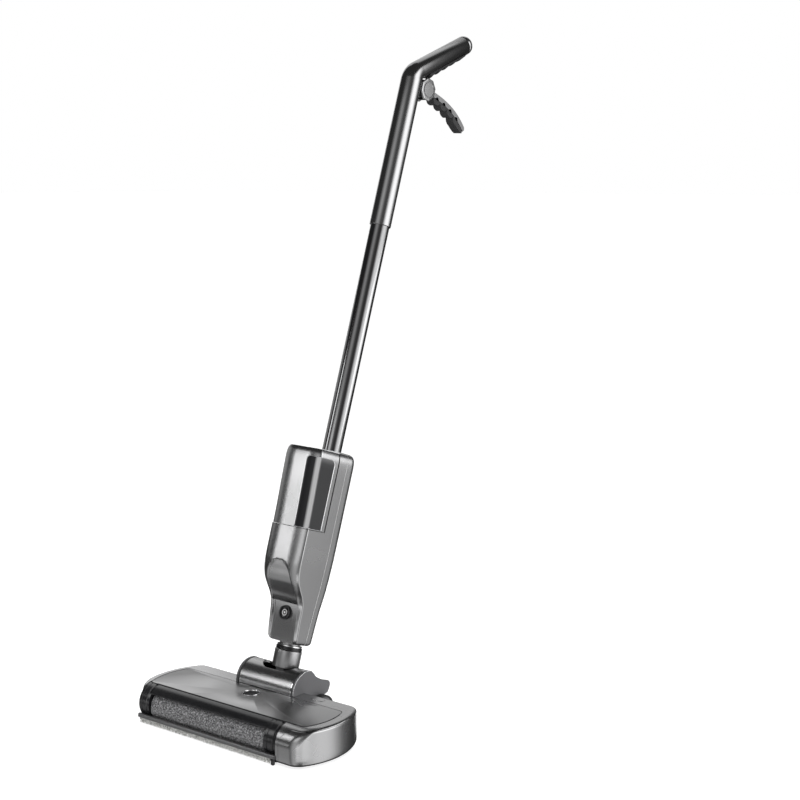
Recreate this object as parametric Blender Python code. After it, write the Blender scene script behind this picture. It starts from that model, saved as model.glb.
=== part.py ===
"""Cordless wet and dry floor scrubber: a roller head, a two-axis neck, a tank body, a pole and a bent grip.

Units are metres and +Z is up. The origin is the middle of the wiper's edge, on the floor under the head.
The front of the head looks along -Y. Everything above the hinge barrel is modelled along its own pole
axis (local Z, measured from the barrel's axis) and hangs from the roll_axis empty.
"""

import math

import bmesh
import bpy

# ---- driving dimensions -------------------------------------------------------------------------------
GAP = 0.0003                     # clearance between touching pieces

HEAD_TOP = 0.061
HEAD_FRONT = -0.073
HEAD_BACK = 0.073
HEAD_BOTTOM = 0.003
END_ARC_CENTRE = 0.077           # centre of each end's bulge, from the head's middle
END_ARC_RADIUS = 0.117
SHELL_WALL = 0.0027
HOOD_RADIUS = 0.030              # the front of the head is rolled about the hood's axis
HOOD_HEIGHT = HEAD_TOP - HOOD_RADIUS
HOOD_WALL = 0.0018

ROLLER_RADIUS = 0.027
ROLLER_CORE_RADIUS = 0.0210
ROLLER_Y = -0.043
ROLLER_Z = ROLLER_RADIUS
ROLLER_LEFT, ROLLER_RIGHT = -0.1485, 0.1020
BLOCK_LEFT, BLOCK_RIGHT = -0.1720, 0.1280      # outer faces of the roller's bearing blocks
OPENING_LEFT, OPENING_RIGHT = -0.1740, 0.1300  # roller opening in the shell

COVER_FRONT, COVER_BACK = -0.0456, 0.0411
COVER_THICKNESS = 0.0027
LATCH_CENTRE = (-0.006, 0.017)
LATCH_RADIUS = 0.0125

PIVOT = (0.0065, 0.075, 0.061)   # where the barrel's axis crosses the neck's axis
POLE_LEAN = math.radians(17.6)
POLE_ROLL = math.radians(1.4)
BARREL_RADIUS = 0.033
BARREL_BORE = 0.0295
BARREL_LEFT, BARREL_RIGHT = -0.058, 0.0565     # in the head's frame
SLOT_LEFT, SLOT_RIGHT = -0.0405, 0.0315        # in the barrel's frame
NECK_RADIUS = 0.0223
BRACKET_THICKNESS = 0.004

BELT_LEFT, BELT_WIDTH = 0.1577, 0.0060
ROLLER_PULLEY_RADIUS = 0.0120                  # at the bottom of the belt groove
MOTOR_PULLEY_RADIUS = 0.0080
MOTOR_Y, MOTOR_Z = 0.0215, 0.028

WHEEL_RADIUS = 0.0245
WHEEL_Y = 0.104
WHEEL_WIDTH = 0.0105

BODY_BOTTOM, BODY_TOP = 0.070, 0.388           # along the pole axis
BODY_SPLIT = 0.0005                            # seam between the front and the rear shell
STEP_HEIGHT = 0.2555                           # shelf that the water tank stands on
TANK_BACK = -0.0215
TANK_INSET = 0.0010                            # of the tank's sides from the body's
TANK_TOP = 0.385
VALVE_Y = -0.052                               # the tank's mouth and valve
BUTTON_HEIGHT = 0.117

POLE_RADIUS = 0.016
POLE_START, POLE_END = 0.300, 0.800
TUBE_RADIUS = 0.018
TUBE_BORE = 0.0163
TUBE_START = 0.772
BEND_VERTEX = 1.0382
BEND_RADIUS = 0.025
GRIP_RADIUS = 0.0163             # past the bend, where the tube is drawn in
GRIP_ANGLE = math.radians(51.5)  # the grip's turn away from the pole axis
GRIP_LENGTH = 0.163              # from the bend's vertex
CAP_LENGTH = 0.016               # of the cap at the grip's end
HUB = (0.0, 0.036, 1.022)        # squeeze lever's pin, in the pole's frame
HUB_RADIUS = 0.020
LEVER_SCALE = 0.91               # of the lever's length against its drawn outline
LOBE_PITCH = 0.0235              # of the lever's finger lobes


# ---- materials ----------------------------------------------------------------------------------------
def finish(name, colour, roughness, metallic=0.0):
    material = bpy.data.materials.new(name)
    material.use_nodes = True
    shader = material.node_tree.nodes["Principled BSDF"]
    shader.inputs["Base Color"].default_value = (*colour, 1.0)
    shader.inputs["Roughness"].default_value = roughness
    shader.inputs["Metallic"].default_value = metallic
    return material


def make_finishes():
    return {
        "grey": finish("grey_paint", (0.32, 0.32, 0.33), 0.30, 0.6),
        "tube": finish("grey_tube", (0.32, 0.32, 0.33), 0.30, 0.8),
        "black_tube": finish("black_tube", (0.012, 0.012, 0.013), 0.15, 0.2),
        "dark_grey": finish("dark_grey_plastic", (0.13, 0.13, 0.14), 0.45),
        "black": finish("black_gloss", (0.012, 0.012, 0.013), 0.15),
        "plastic": finish("black_plastic", (0.03, 0.03, 0.03), 0.5),
        "rubber": finish("black_rubber", (0.02, 0.02, 0.02), 0.8),
        "chrome": finish("chrome", (0.8, 0.8, 0.8), 0.08, 1.0),
        "steel": finish("steel", (0.5, 0.5, 0.5), 0.35, 1.0),
        "pile": finish("grey_pile", (0.35, 0.35, 0.36), 0.95),
        "bristle": finish("pale_bristle", (0.75, 0.74, 0.7), 0.9),
        "window": finish("smoked_window", (0.01, 0.01, 0.012), 0.05),
        "board": finish("board_green", (0.02, 0.2, 0.06), 0.6),
    }


# ---- shape helpers ------------------------------------------------------------------------------------
def make(name, vertices, faces, material, parent=None):
    """A closed mesh object with outward faces, smooth over its shallow edges."""
    mesh = bpy.data.meshes.new(name)
    mesh.from_pydata(vertices, [], faces)
    shape = bmesh.new()
    shape.from_mesh(mesh)
    bmesh.ops.recalc_face_normals(shape, faces=shape.faces)
    shape.to_mesh(mesh)
    shape.free()
    mesh.shade_smooth()
    mesh.set_sharp_from_angle(angle=math.radians(35))
    if material:
        mesh.materials.append(material)
    piece = bpy.data.objects.new(name, mesh)
    bpy.context.scene.collection.objects.link(piece)
    piece.parent = parent
    return piece


def empty(name, location, rotation=(0, 0, 0), parent=None):
    axis = bpy.data.objects.new(name, None)
    bpy.context.scene.collection.objects.link(axis)
    axis.location = location
    axis.rotation_euler = rotation
    axis.parent = parent
    return axis


def bridge(first, second, count):
    """Quads between two rings of count vertices that start at the given indices."""
    return [(first + i, first + (i + 1) % count, second + (i + 1) % count, second + i) for i in range(count)]


def loft(name, rings, material, parent=None):
    """A solid skinned over rings of equal size, with flat ends."""
    count = len(rings[0])
    vertices = [point for ring in rings for point in ring]
    faces = [tuple(range(count)), tuple(range(len(vertices) - count, len(vertices)))]
    for level in range(len(rings) - 1):
        faces += bridge(level * count, (level + 1) * count, count)
    return make(name, vertices, faces, material, parent)


def hollow_loft(name, outer, inner, material, parent=None):
    """A tube skinned over outer and inner rings, with ring-shaped ends."""
    count, levels = len(outer[0]), len(outer)
    vertices = [point for ring in outer + inner for point in ring]
    shift = levels * count
    faces = bridge(0, shift, count) + bridge((levels - 1) * count, shift + (levels - 1) * count, count)
    for level in range(levels - 1):
        faces += bridge(level * count, (level + 1) * count, count)
        faces += bridge(shift + level * count, shift + (level + 1) * count, count)
    return make(name, vertices, faces, material, parent)


def turn_point(radius, along, angle, axis, centre):
    across = (radius * math.cos(angle), radius * math.sin(angle))
    offset = {"x": (along, *across), "y": (across[1], along, across[0]), "z": (*across, along)}[axis]
    return tuple(c + o for c, o in zip(centre, offset))


def circle_ring(radius, along, axis="z", centre=(0, 0, 0), sides=24, phase=0.0):
    return [turn_point(radius, along, phase + 2 * math.pi * i / sides, axis, centre) for i in range(sides)]


def disc(name, steps, material, parent=None, axis="z", centre=(0, 0, 0), sides=24, phase=0.0):
    """A turned solid: steps are (radius, along) pairs from one flat end to the other."""
    rings = [circle_ring(radius, along, axis, centre, sides, phase) for radius, along in steps]
    return loft(name, rings, material, parent)


def pipe(name, outer, inner, low, high, material, parent=None, axis="z", centre=(0, 0, 0), sides=24):
    ends = (low, high)
    return hollow_loft(name, [circle_ring(outer, end, axis, centre, sides) for end in ends],
                       [circle_ring(inner, end, axis, centre, sides) for end in ends], material, parent)


def prism(name, outline, axis, low, high, material, parent=None):
    """An outline in the two other axes, extruded along axis."""
    place = {"x": lambda a, b, c: (c, a, b), "y": lambda a, b, c: (a, c, b), "z": lambda a, b, c: (a, b, c)}
    return loft(name, [[place[axis](a, b, end) for a, b in outline] for end in (low, high)], material, parent)


def box(name, low, high, material, parent=None):
    outline = [(low[0], low[1]), (high[0], low[1]), (high[0], high[1]), (low[0], high[1])]
    return prism(name, outline, "z", low[2], high[2], material, parent)


def arc(centre, radius, start, end, steps):
    """Points along an arc in a plane, angles in degrees."""
    points = []
    for i in range(steps + 1):
        angle = math.radians(start + (end - start) * i / steps)
        points.append((centre[0] + radius * math.cos(angle), centre[1] + radius * math.sin(angle)))
    return points


def oval(centre, across, deep, start, end, steps):
    """Points along part of an ellipse."""
    turns = [math.radians(start + (end - start) * i / steps) for i in range(steps + 1)]
    return [(centre[0] + across * math.cos(turn), centre[1] + deep * math.sin(turn)) for turn in turns]


def rounded(low, high, radius, steps=3):
    """A rectangle with round corners."""
    (x0, y0), (x1, y1) = low, high
    points = []
    for cx, cy, start in ((x1 - radius, y0 + radius, -90), (x1 - radius, y1 - radius, 0),
                          (x0 + radius, y1 - radius, 90), (x0 + radius, y0 + radius, 180)):
        points += arc((cx, cy), radius, start, start + 90, steps)
    return points


def as_tool(piece):
    """Marks a piece as a cutter that isn't part of the model."""
    piece.hide_render = True
    piece.display_type = "WIRE"
    return piece


def combine(piece, tool, operation="DIFFERENCE"):
    modifier = piece.modifiers.new(tool.name, "BOOLEAN")
    modifier.operation = operation
    modifier.object = as_tool(tool)
    return piece


# ---- head ---------------------------------------------------------------------------------------------
def head_outline(front, back, left_inset, right_inset, front_corner=0.024, back_corner=0.014):
    """Plan of the head: straight front and back, bulged ends and round corners."""

    def half(inset):
        radius = END_ARC_RADIUS - inset
        points, turns = [], []
        for line, corner, way in ((front, front_corner, 1), (back, back_corner, -1)):
            y = line + way * corner
            x = END_ARC_CENTRE + math.sqrt((radius - corner) ** 2 - y * y)
            turns.append((x, y, corner, math.degrees(math.atan2(y, x - END_ARC_CENTRE))))
        (x0, y0, r0, a0), (x1, y1, r1, a1) = turns
        points += arc((x0, y0), r0, -90, a0, 5)
        points += arc((END_ARC_CENTRE, 0), radius, a0, a1, 7)[1:-1]
        points += arc((x1, y1), r1, a1, 90, 4)
        return points

    right, left = half(right_inset), half(left_inset)
    return right + [(-x, y) for x, y in reversed(left)]


def rolled_front(height, inset):
    """Y of the head's front at a height: upright below the hood's axis, an arc about it above."""
    radius = HOOD_RADIUS - inset
    above = max(0.0, height - HOOD_HEIGHT)
    return ROLLER_Y - math.sqrt(max(0.0, radius ** 2 - above ** 2))


def head_form(name, material, inset=0.0, low=None, high=None):
    """The head's outer form, or a smaller one inside it that runs from low to high."""
    levels = [(HEAD_BOTTOM, 0.012), (0.0055, 0.006), (0.010, 0.002), (0.018, 0.0), (HOOD_HEIGHT, 0.0),
              (0.040, 0.0), (0.047, 0.0), (0.053, 0.0), (0.0575, 0.0006), (0.0598, 0.0018),
              (HEAD_TOP, 0.0045)]
    if inset:
        top = min(high, HOOD_HEIGHT + HOOD_RADIUS - inset)
        levels = [(z, 0.0) for z, _ in levels if HOOD_HEIGHT <= z < top - 0.0005]
        levels = [(low, 0.0)] + levels + [(top, 0.0)] + ([(high, 0.0)] if high > top else [])
    rings = []
    for z, edge in levels:
        under = edge if z < HOOD_HEIGHT else 0.0
        sides = inset + edge
        outline = head_outline(rolled_front(z, inset) + under, HEAD_BACK - sides, sides, sides)
        rings.append([(x, y, z) for x, y in outline])
    return loft(name, rings, material)


def cap_region(name, side, clearance):
    """The stretch of the head's end that a cap covers, past an upright line with a round corner."""
    inner = {1: OPENING_RIGHT + 0.006, -1: -OPENING_LEFT + 0.0026}[side] - clearance
    top = 0.0572 + clearance
    corner = {1: 0.022, -1: 0.010}[side]
    outline = [(0.25, -0.01), (0.25, top)]
    outline += arc((inner + corner, top - corner), corner, 90, 180, 6)
    outline.append((inner, -0.01))
    return prism(name, [(side * x, z) for x, z in outline], "y", -0.12, 0.12, None)


def cover_outline(margin):
    front, back = COVER_FRONT - margin, COVER_BACK + margin
    return head_outline(front, back, 0.013 - margin, 0.0185 - margin, 0.006, 0.010)


def make_head_shell(mats):
    shell = head_form("head_shell", mats["grey"])
    combine(shell, head_form("head_cavity", None, inset=0.0078, low=-0.01, high=HEAD_TOP - SHELL_WALL))
    for side, word in ((1, "right"), (-1, "left")):
        void = cap_region(f"cap_void_{word}", side, 0.0003)
        combine(void, head_form(f"cap_void_core_{word}", None, inset=0.0044, low=-0.02, high=0.08))
        combine(shell, void)
    opening = box("roller_opening", (OPENING_LEFT, -0.1, -0.01), (OPENING_RIGHT, -0.0135, 0.08), None)
    combine(shell, opening)
    combine(shell, prism("cover_opening", cover_outline(0.0004), "z", 0.050, 0.08, None))
    cradle = [(0.0338, BARREL_LEFT - 0.0009), (0.0338, BARREL_RIGHT + 0.0008)]
    combine(shell, disc("barrel_cradle", cradle, None, axis="x", centre=(0, PIVOT[1], PIVOT[2]), sides=36))
    for word, low in BRACKET_PLACES:
        high = low + BRACKET_THICKNESS
        slot = prism(f"bracket_slot_{word}", bracket_outline(0.0005), "x", low - 0.0004, high + 0.0004, None)
        combine(shell, slot)
    combine(shell, prism("release_hole", release_outline(0.0004), "z", 0.05, 0.07, None))


def make_end_caps(mats):
    for side, word in ((1, "right"), (-1, "left")):
        cap = head_form(f"end_cap_{word}", mats["grey"])
        combine(cap, head_form(f"cap_core_{word}", None, inset=0.0035, low=-0.02, high=0.08))
        combine(cap, cap_region(f"cap_keep_{word}", side, 0.0), "INTERSECT")


def make_head_base(mats):
    outline = head_outline(-0.0648, HEAD_BACK - 0.0082, 0.0122, 0.0122, 0.016, 0.010)
    base = prism("head_base", outline, "z", 0.0040, 0.0075, mats["plastic"])
    left, right = OPENING_LEFT + 0.0004, OPENING_RIGHT - 0.0004
    combine(base, box("front_bar", (left, -0.0700, 0.0040), (right, -0.0600, 0.0075), None), "UNION")
    left, right = BLOCK_LEFT - 0.001, BLOCK_RIGHT + 0.001
    combine(base, box("roller_window", (left, -0.0655, 0), (right, -0.0060, 0.02), None))
    left, right = BLOCK_LEFT + 0.0175, BLOCK_RIGHT - 0.0175
    combine(base, box("blade_slot", (left, -0.0021, 0), (right, 0.0021, 0.02), None))
    for word, low in BRACKET_PLACES:
        high = low + BRACKET_THICKNESS
        combine(base, box(f"base_slot_{word}", (low - 0.0005, 0.038, 0), (high + 0.0005, 0.09, 0.02), None))


def make_front_edge(mats):
    left, right = BLOCK_LEFT + 0.001, OPENING_RIGHT - 0.0004
    lip = [(-0.0755, 0.0100), (-0.0703, 0.0093), (-0.0703, 0.0150), (-0.0718, 0.0162), (-0.0742, 0.0160),
           (-0.0758, 0.0142)]
    prism("front_lip", lip, "x", left, right, mats["grey"])
    fringe = [(-0.0748, 0.0004), (-0.0718, 0.0004), (-0.0712, 0.0090), (-0.0752, 0.0090)]
    prism("bristle_strip", fringe, "x", left + 0.004, right - 0.010, mats["bristle"])
    disc("front_glide", [(0.0018, 0.0), (0.0034, 0.0016), (0.0034, 0.0088)], mats["rubber"],
         centre=(right - 0.004, -0.0735, 0), sides=12)


def make_wiper(mats):
    left, right = BLOCK_LEFT + 0.018, BLOCK_RIGHT - 0.018
    blade = [(-0.0012, 0.0), (0.0012, 0.0), (0.0014, 0.0140), (-0.0014, 0.0140)]
    prism("wiper_blade", blade, "x", left, right, mats["rubber"])
    holder = [(-0.0042, 0.0079), (-0.0018, 0.0079), (-0.0018, 0.0145), (0.0018, 0.0145), (0.0018, 0.0079),
              (0.0042, 0.0079), (0.0042, 0.0185), (-0.0042, 0.0185)]
    prism("wiper_holder", holder, "x", left - 0.002, right + 0.002, mats["plastic"])


def make_roller(mats):
    axis = empty("roller_axis", (0, ROLLER_Y, ROLLER_Z))
    spindle = 0.004
    core = [(spindle, -0.1665), (spindle, ROLLER_LEFT - 0.0012), (ROLLER_CORE_RADIUS, ROLLER_LEFT - 0.0010),
            (ROLLER_CORE_RADIUS, ROLLER_RIGHT + 0.0010), (spindle, ROLLER_RIGHT + 0.0012),
            (spindle, BELT_LEFT - 0.0022)]
    disc("roller_core", core, mats["plastic"], axis, axis="x", sides=20)
    pipe("roller_sleeve", ROLLER_RADIUS, ROLLER_CORE_RADIUS + GAP, ROLLER_LEFT, ROLLER_RIGHT, mats["pile"],
         axis, axis="x", sides=32)
    disc("roller_pulley", pulley_profile(ROLLER_PULLEY_RADIUS), mats["plastic"], axis, axis="x", sides=20)


def pulley_profile(groove):
    """A pulley's rims and the groove that its belt runs in."""
    left, right, rim = BELT_LEFT, BELT_LEFT + BELT_WIDTH, groove + 0.0015
    return [(rim, left - 0.0019), (rim, left - 0.0007), (groove, left - 0.0005), (groove, right + 0.0005),
            (rim, right + 0.0007), (rim, right + 0.0019)]


def make_bearing_blocks(mats):
    spans = (("left", BLOCK_LEFT, ROLLER_LEFT - 0.0022), ("right", ROLLER_RIGHT + 0.0022, BLOCK_RIGHT))
    for word, low, high in spans:
        outline = [(-0.0170, 0.0100), (-0.0170, 0.0575), (-0.0461, 0.0575)]
        outline += arc((ROLLER_Y, HOOD_HEIGHT), 0.0295, 96, 205, 12)
        outline.append((-0.0655, 0.0100))
        block = prism(f"roller_bearing_{word}", outline, "x", low, high, mats["black"])
        bore = disc(f"bearing_bore_{word}", [(0.0045, low - 0.01), (0.0045, high + 0.01)], None, axis="x",
                    centre=(0, ROLLER_Y, ROLLER_Z), sides=16)
        combine(block, bore)


def make_hood(mats):
    """The black hood over the roller: rolled at the front, lower under the cover's edge, upright behind."""
    centre = (ROLLER_Y, HOOD_HEIGHT)
    front, dip = 0.0297, 0.0270
    outer = arc(centre, front, 140, 96, 8) + arc(centre, dip, 97, 60, 6) + arc(centre, front, 40, -4, 7)
    front, dip = front - HOOD_WALL, dip - HOOD_WALL
    inner = arc(centre, front, -4, 40, 7) + arc(centre, dip, 60, 100, 6) + arc(centre, front, 104, 140, 7)
    prism("roller_hood", outer + inner, "x", ROLLER_LEFT - 0.0018, ROLLER_RIGHT + 0.0018, mats["black"])


def make_drive(mats):
    disc("drive_motor", [(0.0155, 0.0980), (0.0155, 0.1430)], mats["steel"], axis="x",
         centre=(0, MOTOR_Y, MOTOR_Z), sides=24)
    shaft = empty("motor_shaft_axis", (0, MOTOR_Y, MOTOR_Z))
    profile = [(0.0022, 0.1434), (0.0022, BELT_LEFT - 0.0021)] + pulley_profile(MOTOR_PULLEY_RADIUS)
    disc("motor_pulley", profile, mats["steel"], shaft, axis="x", sides=14)
    dy, dz = MOTOR_Y - ROLLER_Y, MOTOR_Z - ROLLER_Z
    reach, tilt = math.hypot(dy, dz), math.degrees(math.atan2(dz, dy))
    swing = math.degrees(math.acos((ROLLER_PULLEY_RADIUS - MOTOR_PULLEY_RADIUS) / reach))

    def loop(offset):
        """The outline of a belt around both pulleys, offset outward from their grooves."""
        large, small = ROLLER_PULLEY_RADIUS + offset, MOTOR_PULLEY_RADIUS + offset
        around = arc((ROLLER_Y, ROLLER_Z), large, tilt + swing, tilt + 360 - swing, 12)
        return around + arc((MOTOR_Y, MOTOR_Z), small, tilt - swing, tilt + swing, 10)

    edges = (BELT_LEFT, BELT_LEFT + BELT_WIDTH)
    outer, inner = ([[(x, y, z) for y, z in loop(offset)] for x in edges] for offset in (0.0018, 0.0004))
    hollow_loft("drive_belt", outer, inner, mats["rubber"])


def release_outline(margin):
    return rounded((0.089 - margin, 0.0535 - margin), (0.113 + margin, 0.0635 + margin), 0.0048 + margin)


def make_release_button(mats):
    prism("release_button", release_outline(0.0), "z", 0.0540, 0.0616, mats["grey"])


def make_dirty_tank(mats):
    """The lift-out tray: the top cover, the dirty water box under it and the round latch button."""
    cover = prism("top_cover", cover_outline(0.0), "z", HEAD_TOP - COVER_THICKNESS, HEAD_TOP, mats["grey"])
    middle = (*LATCH_CENTRE, 0)
    combine(cover, disc("latch_hole", [(0.0152, 0.05), (0.0152, 0.07)], None, centre=middle))
    pipe("latch_ring", 0.0149, 0.0129, 0.0575, 0.0615, mats["chrome"], centre=middle)
    disc("latch_button", [(LATCH_RADIUS, 0.0520), (LATCH_RADIUS, 0.0592), (LATCH_RADIUS - 0.0013, 0.0600)],
         mats["black"], centre=middle)
    tray = box("dirty_water_box", (-0.150, -0.0070, 0.0200), (0.0920, 0.0395, 0.0578), mats["plastic"])
    combine(tray, box("tray_hollow", (-0.1482, -0.0052, 0.0218), (0.0902, 0.0377, 0.07), None))


# ---- rear carriage ------------------------------------------------------------------------------------
BRACKET_PLACES = (("right", BARREL_RIGHT + 0.0012), ("left", BARREL_LEFT - 0.0012 - BRACKET_THICKNESS))


def bracket_outline(margin):
    """Side view of a hinge bracket: round over the barrel, with a tail that reaches back over the wheel."""
    radius = 0.0336 + margin
    crown = arc((PIVOT[1], PIVOT[2]), radius, 180, 66, 12)
    tail = [(0.1000, 0.0790 + margin), (0.1160, 0.0697 + margin)]
    tail += arc((0.1245 + margin, 0.0585 + margin), 0.0080, 62, -20, 4)
    tail += [(0.1290 + margin, 0.0492), (0.1262 + margin, 0.0460 - margin), (0.1160, 0.0440 - margin)]
    heel = arc((WHEEL_Y, WHEEL_RADIUS), 0.0075 + margin, 10, -90, 5)
    return crown + tail + heel + [(PIVOT[1], 0.0110 - margin), (PIVOT[1] - radius, 0.0110 - margin)]


def make_carriage(mats):
    for word, low in BRACKET_PLACES:
        high = low + BRACKET_THICKNESS
        plate = prism(f"hinge_bracket_{word}", bracket_outline(0.0), "x", low, high, mats["dark_grey"])
        holes = (("trunnion", PIVOT[1], PIVOT[2], 0.0065), ("axle", WHEEL_Y, WHEEL_RADIUS, 0.0028))
        for hole, y, z, radius in holes:
            ends = [(radius, low - 0.01), (radius, high + 0.01)]
            combine(plate, disc(f"{hole}_hole_{word}", ends, None, axis="x", centre=(0, y, z), sides=16))
    right = BARREL_RIGHT + 0.0012 + BRACKET_THICKNESS
    left = BARREL_LEFT - 0.0012 - BRACKET_THICKNESS
    disc("wheel_axle", [(0.0025, left - 0.0140), (0.0025, right + 0.0140)], mats["steel"], axis="x",
         centre=(0, WHEEL_Y, WHEEL_RADIUS), sides=12)
    for word, inner, way in (("right", right + 0.0008, 1), ("left", left - 0.0008, -1)):
        axis = empty(f"wheel_axis_{word}", (inner, WHEEL_Y, WHEEL_RADIUS))
        low, high = sorted((0.0, way * WHEEL_WIDTH))
        pipe(f"rear_wheel_{word}", 0.0215, 0.0029, low + 0.0008, high - 0.0008, mats["dark_grey"], axis,
             axis="x")
        pipe(f"rear_tyre_{word}", WHEEL_RADIUS, 0.0218, low, high, mats["rubber"], axis, axis="x", sides=32)


# ---- barrel and neck ----------------------------------------------------------------------------------
def make_barrel(mats, pitch):
    left, right = BARREL_LEFT - PIVOT[0], BARREL_RIGHT - PIVOT[0]
    barrel = pipe("pivot_barrel", BARREL_RADIUS, BARREL_BORE, left, right, mats["grey"], pitch, axis="x",
                  sides=36)
    half = 0.0229
    slot = arc((SLOT_RIGHT - half, 0), half, -90, 90, 8) + arc((SLOT_LEFT + half, 0), half, 90, 270, 8)
    combine(barrel, prism("neck_slot", slot, "z", 0.0, 0.05, None, pitch))
    for word, end, way in (("right", right, 1), ("left", left, -1)):
        steps = [(0.0291, end - way * 0.0040), (0.0291, end - way * 0.0002), (0.0286, end + way * 0.0002),
                 (0.0061, end + way * 0.0003), (0.0061, end + way * 0.0050)]
        disc(f"barrel_end_{word}", steps, mats["plastic"], pitch, axis="x", sides=20)
    disc("roll_pin", [(0.0040, -0.0282), (0.0040, 0.0282)], mats["steel"], pitch, axis="y", sides=16)


def make_neck(mats, roll):
    stem = 0.0172
    steps = [(NECK_RADIUS - 0.0006, 0.0285), (NECK_RADIUS, 0.0295), (NECK_RADIUS, 0.0565),
             (NECK_RADIUS - 0.0012, 0.0578), (stem, 0.0579), (stem, 0.0780)]
    neck = disc("neck", steps, mats["grey"], roll, sides=28)
    outline = arc((0, 0), 0.0085, 180, 360, 8) + [(0.0085, 0.0300), (-0.0085, 0.0300)]
    combine(neck, prism("neck_tongue", outline, "y", -0.0125, 0.0125, None, roll), "UNION")
    combine(neck, disc("roll_pin_hole", [(0.0043, -0.03), (0.0043, 0.03)], None, roll, axis="y", sides=16))
    pipe("neck_collar", 0.0216, 0.0176, 0.0582, 0.0630, mats["black"], roll, sides=20)
    pipe("neck_ring", 0.0206, 0.0176, 0.0634, 0.0662, mats["chrome"], roll, sides=20)


# ---- body ---------------------------------------------------------------------------------------------
# each level: height, half width, front, back, front corner width and depth, back corner radius
BODY_LEVELS = (
    (0.0700, 0.0278, -0.0245, 0.0165, 0.0100, 0.0100, 0.0100),
    (0.0720, 0.0304, -0.0272, 0.0192, 0.0110, 0.0110, 0.0110),
    (0.0755, 0.0320, -0.0290, 0.0203, 0.0120, 0.0110, 0.0110),
    (0.1050, 0.0335, -0.0334, 0.0207, 0.0130, 0.0110, 0.0110),
    (0.1300, 0.0351, -0.0362, 0.0213, 0.0140, 0.0110, 0.0115),
    (0.1440, 0.0363, -0.0427, 0.0226, 0.0155, 0.0110, 0.0120),
    (0.1570, 0.0372, -0.0530, 0.0237, 0.0180, 0.0110, 0.0125),
    (0.1700, 0.0379, -0.0622, 0.0245, 0.0210, 0.0110, 0.0130),
    (0.1850, 0.0386, -0.0671, 0.0251, 0.0240, 0.0110, 0.0135),
    (0.2000, 0.0391, -0.0687, 0.0254, 0.0270, 0.0108, 0.0140),
    (0.2150, 0.0394, -0.0689, 0.0255, 0.0285, 0.0105, 0.0140),
    (STEP_HEIGHT, 0.0395, -0.0690, 0.0255, 0.0290, 0.0105, 0.0140),
    (0.3680, 0.0395, -0.0735, 0.0255, 0.0290, 0.0105, 0.0140),
    (0.3790, 0.0383, -0.0729, 0.0243, 0.0280, 0.0100, 0.0130),
    (0.3850, 0.0356, -0.0705, 0.0217, 0.0260, 0.0090, 0.0120),
    (BODY_TOP, 0.0312, -0.0660, 0.0172, 0.0220, 0.0080, 0.0100),
)


def body_section(half, front, back, across, deep, radius):
    """Outline with broad oval corners in front and round ones behind."""
    right = oval((half - across, front + deep), across, deep, -90, 0, 8)
    right += arc((half - radius, back - radius), radius, 0, 90, 4)
    return right + [(-x, y) for x, y in reversed(right)]


def body_form(name, material, roll, inset=0.0, low=0.0, high=1.0):
    """The body's outer form, or the part between two heights of a form inset from it."""
    rings = []
    for height, half, front, back, across, deep, radius in BODY_LEVELS:
        if not low <= height <= high:
            continue
        section = body_section(half - inset, front + inset, back - inset, across - inset, deep - inset,
                               radius - inset)
        rings.append([(x, y, height) for x, y in section])
    return loft(name, rings, material, roll)


def scoop_cutter(roll):
    """The thumb scoop on the front: a flat recess for the button that sweeps out into an arch."""
    levels = (                   # height, half width, floor, corner radius
        (0.0600, 0.0250, -0.0215, 0.003), (0.1335, 0.0272, -0.0300, 0.003), (0.1345, 0.0273, -0.0322, 0.003),
        (0.1400, 0.0274, -0.0376, 0.004), (0.1480, 0.0275, -0.0427, 0.005), (0.1580, 0.0270, -0.0508, 0.006),
        (0.1700, 0.0240, -0.0598, 0.006), (0.1830, 0.0182, -0.0647, 0.006), (0.1910, 0.0110, -0.0667, 0.005),
        (0.1960, 0.0050, -0.0685, 0.003),
    )
    rings = []
    for height, half, floor, radius in levels:
        top = [(half, -0.12), (half, floor - radius)]
        top += arc((half - radius, floor - radius), radius, 0, 90, 5)[1:]
        outline = top + [(-x, y) for x, y in reversed(top)]
        rings.append([(x, y, height) for x, y in outline])
    return loft("scoop_cutter", rings, None, roll)


def lower_cavity(name, roll):
    """Hollow of the body below the tank's shelf, kept behind the scoop."""
    levels = (                   # height, half width, front, back, corner width and depth, back radius
        (0.0735, 0.0268, -0.0180, 0.0172, 0.0080, 0.0080, 0.0080),
        (0.1300, 0.0312, -0.0262, 0.0188, 0.0080, 0.0080, 0.0090),
        (0.1400, 0.0325, -0.0340, 0.0196, 0.0110, 0.0080, 0.0095),
        (0.1480, 0.0335, -0.0392, 0.0203, 0.0130, 0.0080, 0.0095),
        (0.1570, 0.0342, -0.0470, 0.0210, 0.0150, 0.0080, 0.0100),
        (0.1700, 0.0350, -0.0567, 0.0218, 0.0180, 0.0080, 0.0105),
        (0.1850, 0.0356, -0.0617, 0.0224, 0.0210, 0.0080, 0.0110),
        (0.2000, 0.0361, -0.0652, 0.0228, 0.0240, 0.0078, 0.0115),
        (0.2520, 0.0365, -0.0660, 0.0229, 0.0260, 0.0075, 0.0115),
    )
    rings = [[(x, y, level[0]) for x, y in body_section(*level[1:])] for level in levels]
    return loft(name, rings, None, roll)


def upper_cavity(name, roll):
    section = rounded((-0.0367, -0.0175), (0.0367, 0.0229), 0.0115, 4)
    small = rounded((-0.0318, -0.0175), (0.0318, 0.0178), 0.0095, 4)
    rings = [[(x, y, z) for x, y in section] for z in (0.2505, 0.3720)] + [[(x, y, 0.3850) for x, y in small]]
    return loft(name, rings, None, roll)


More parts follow.
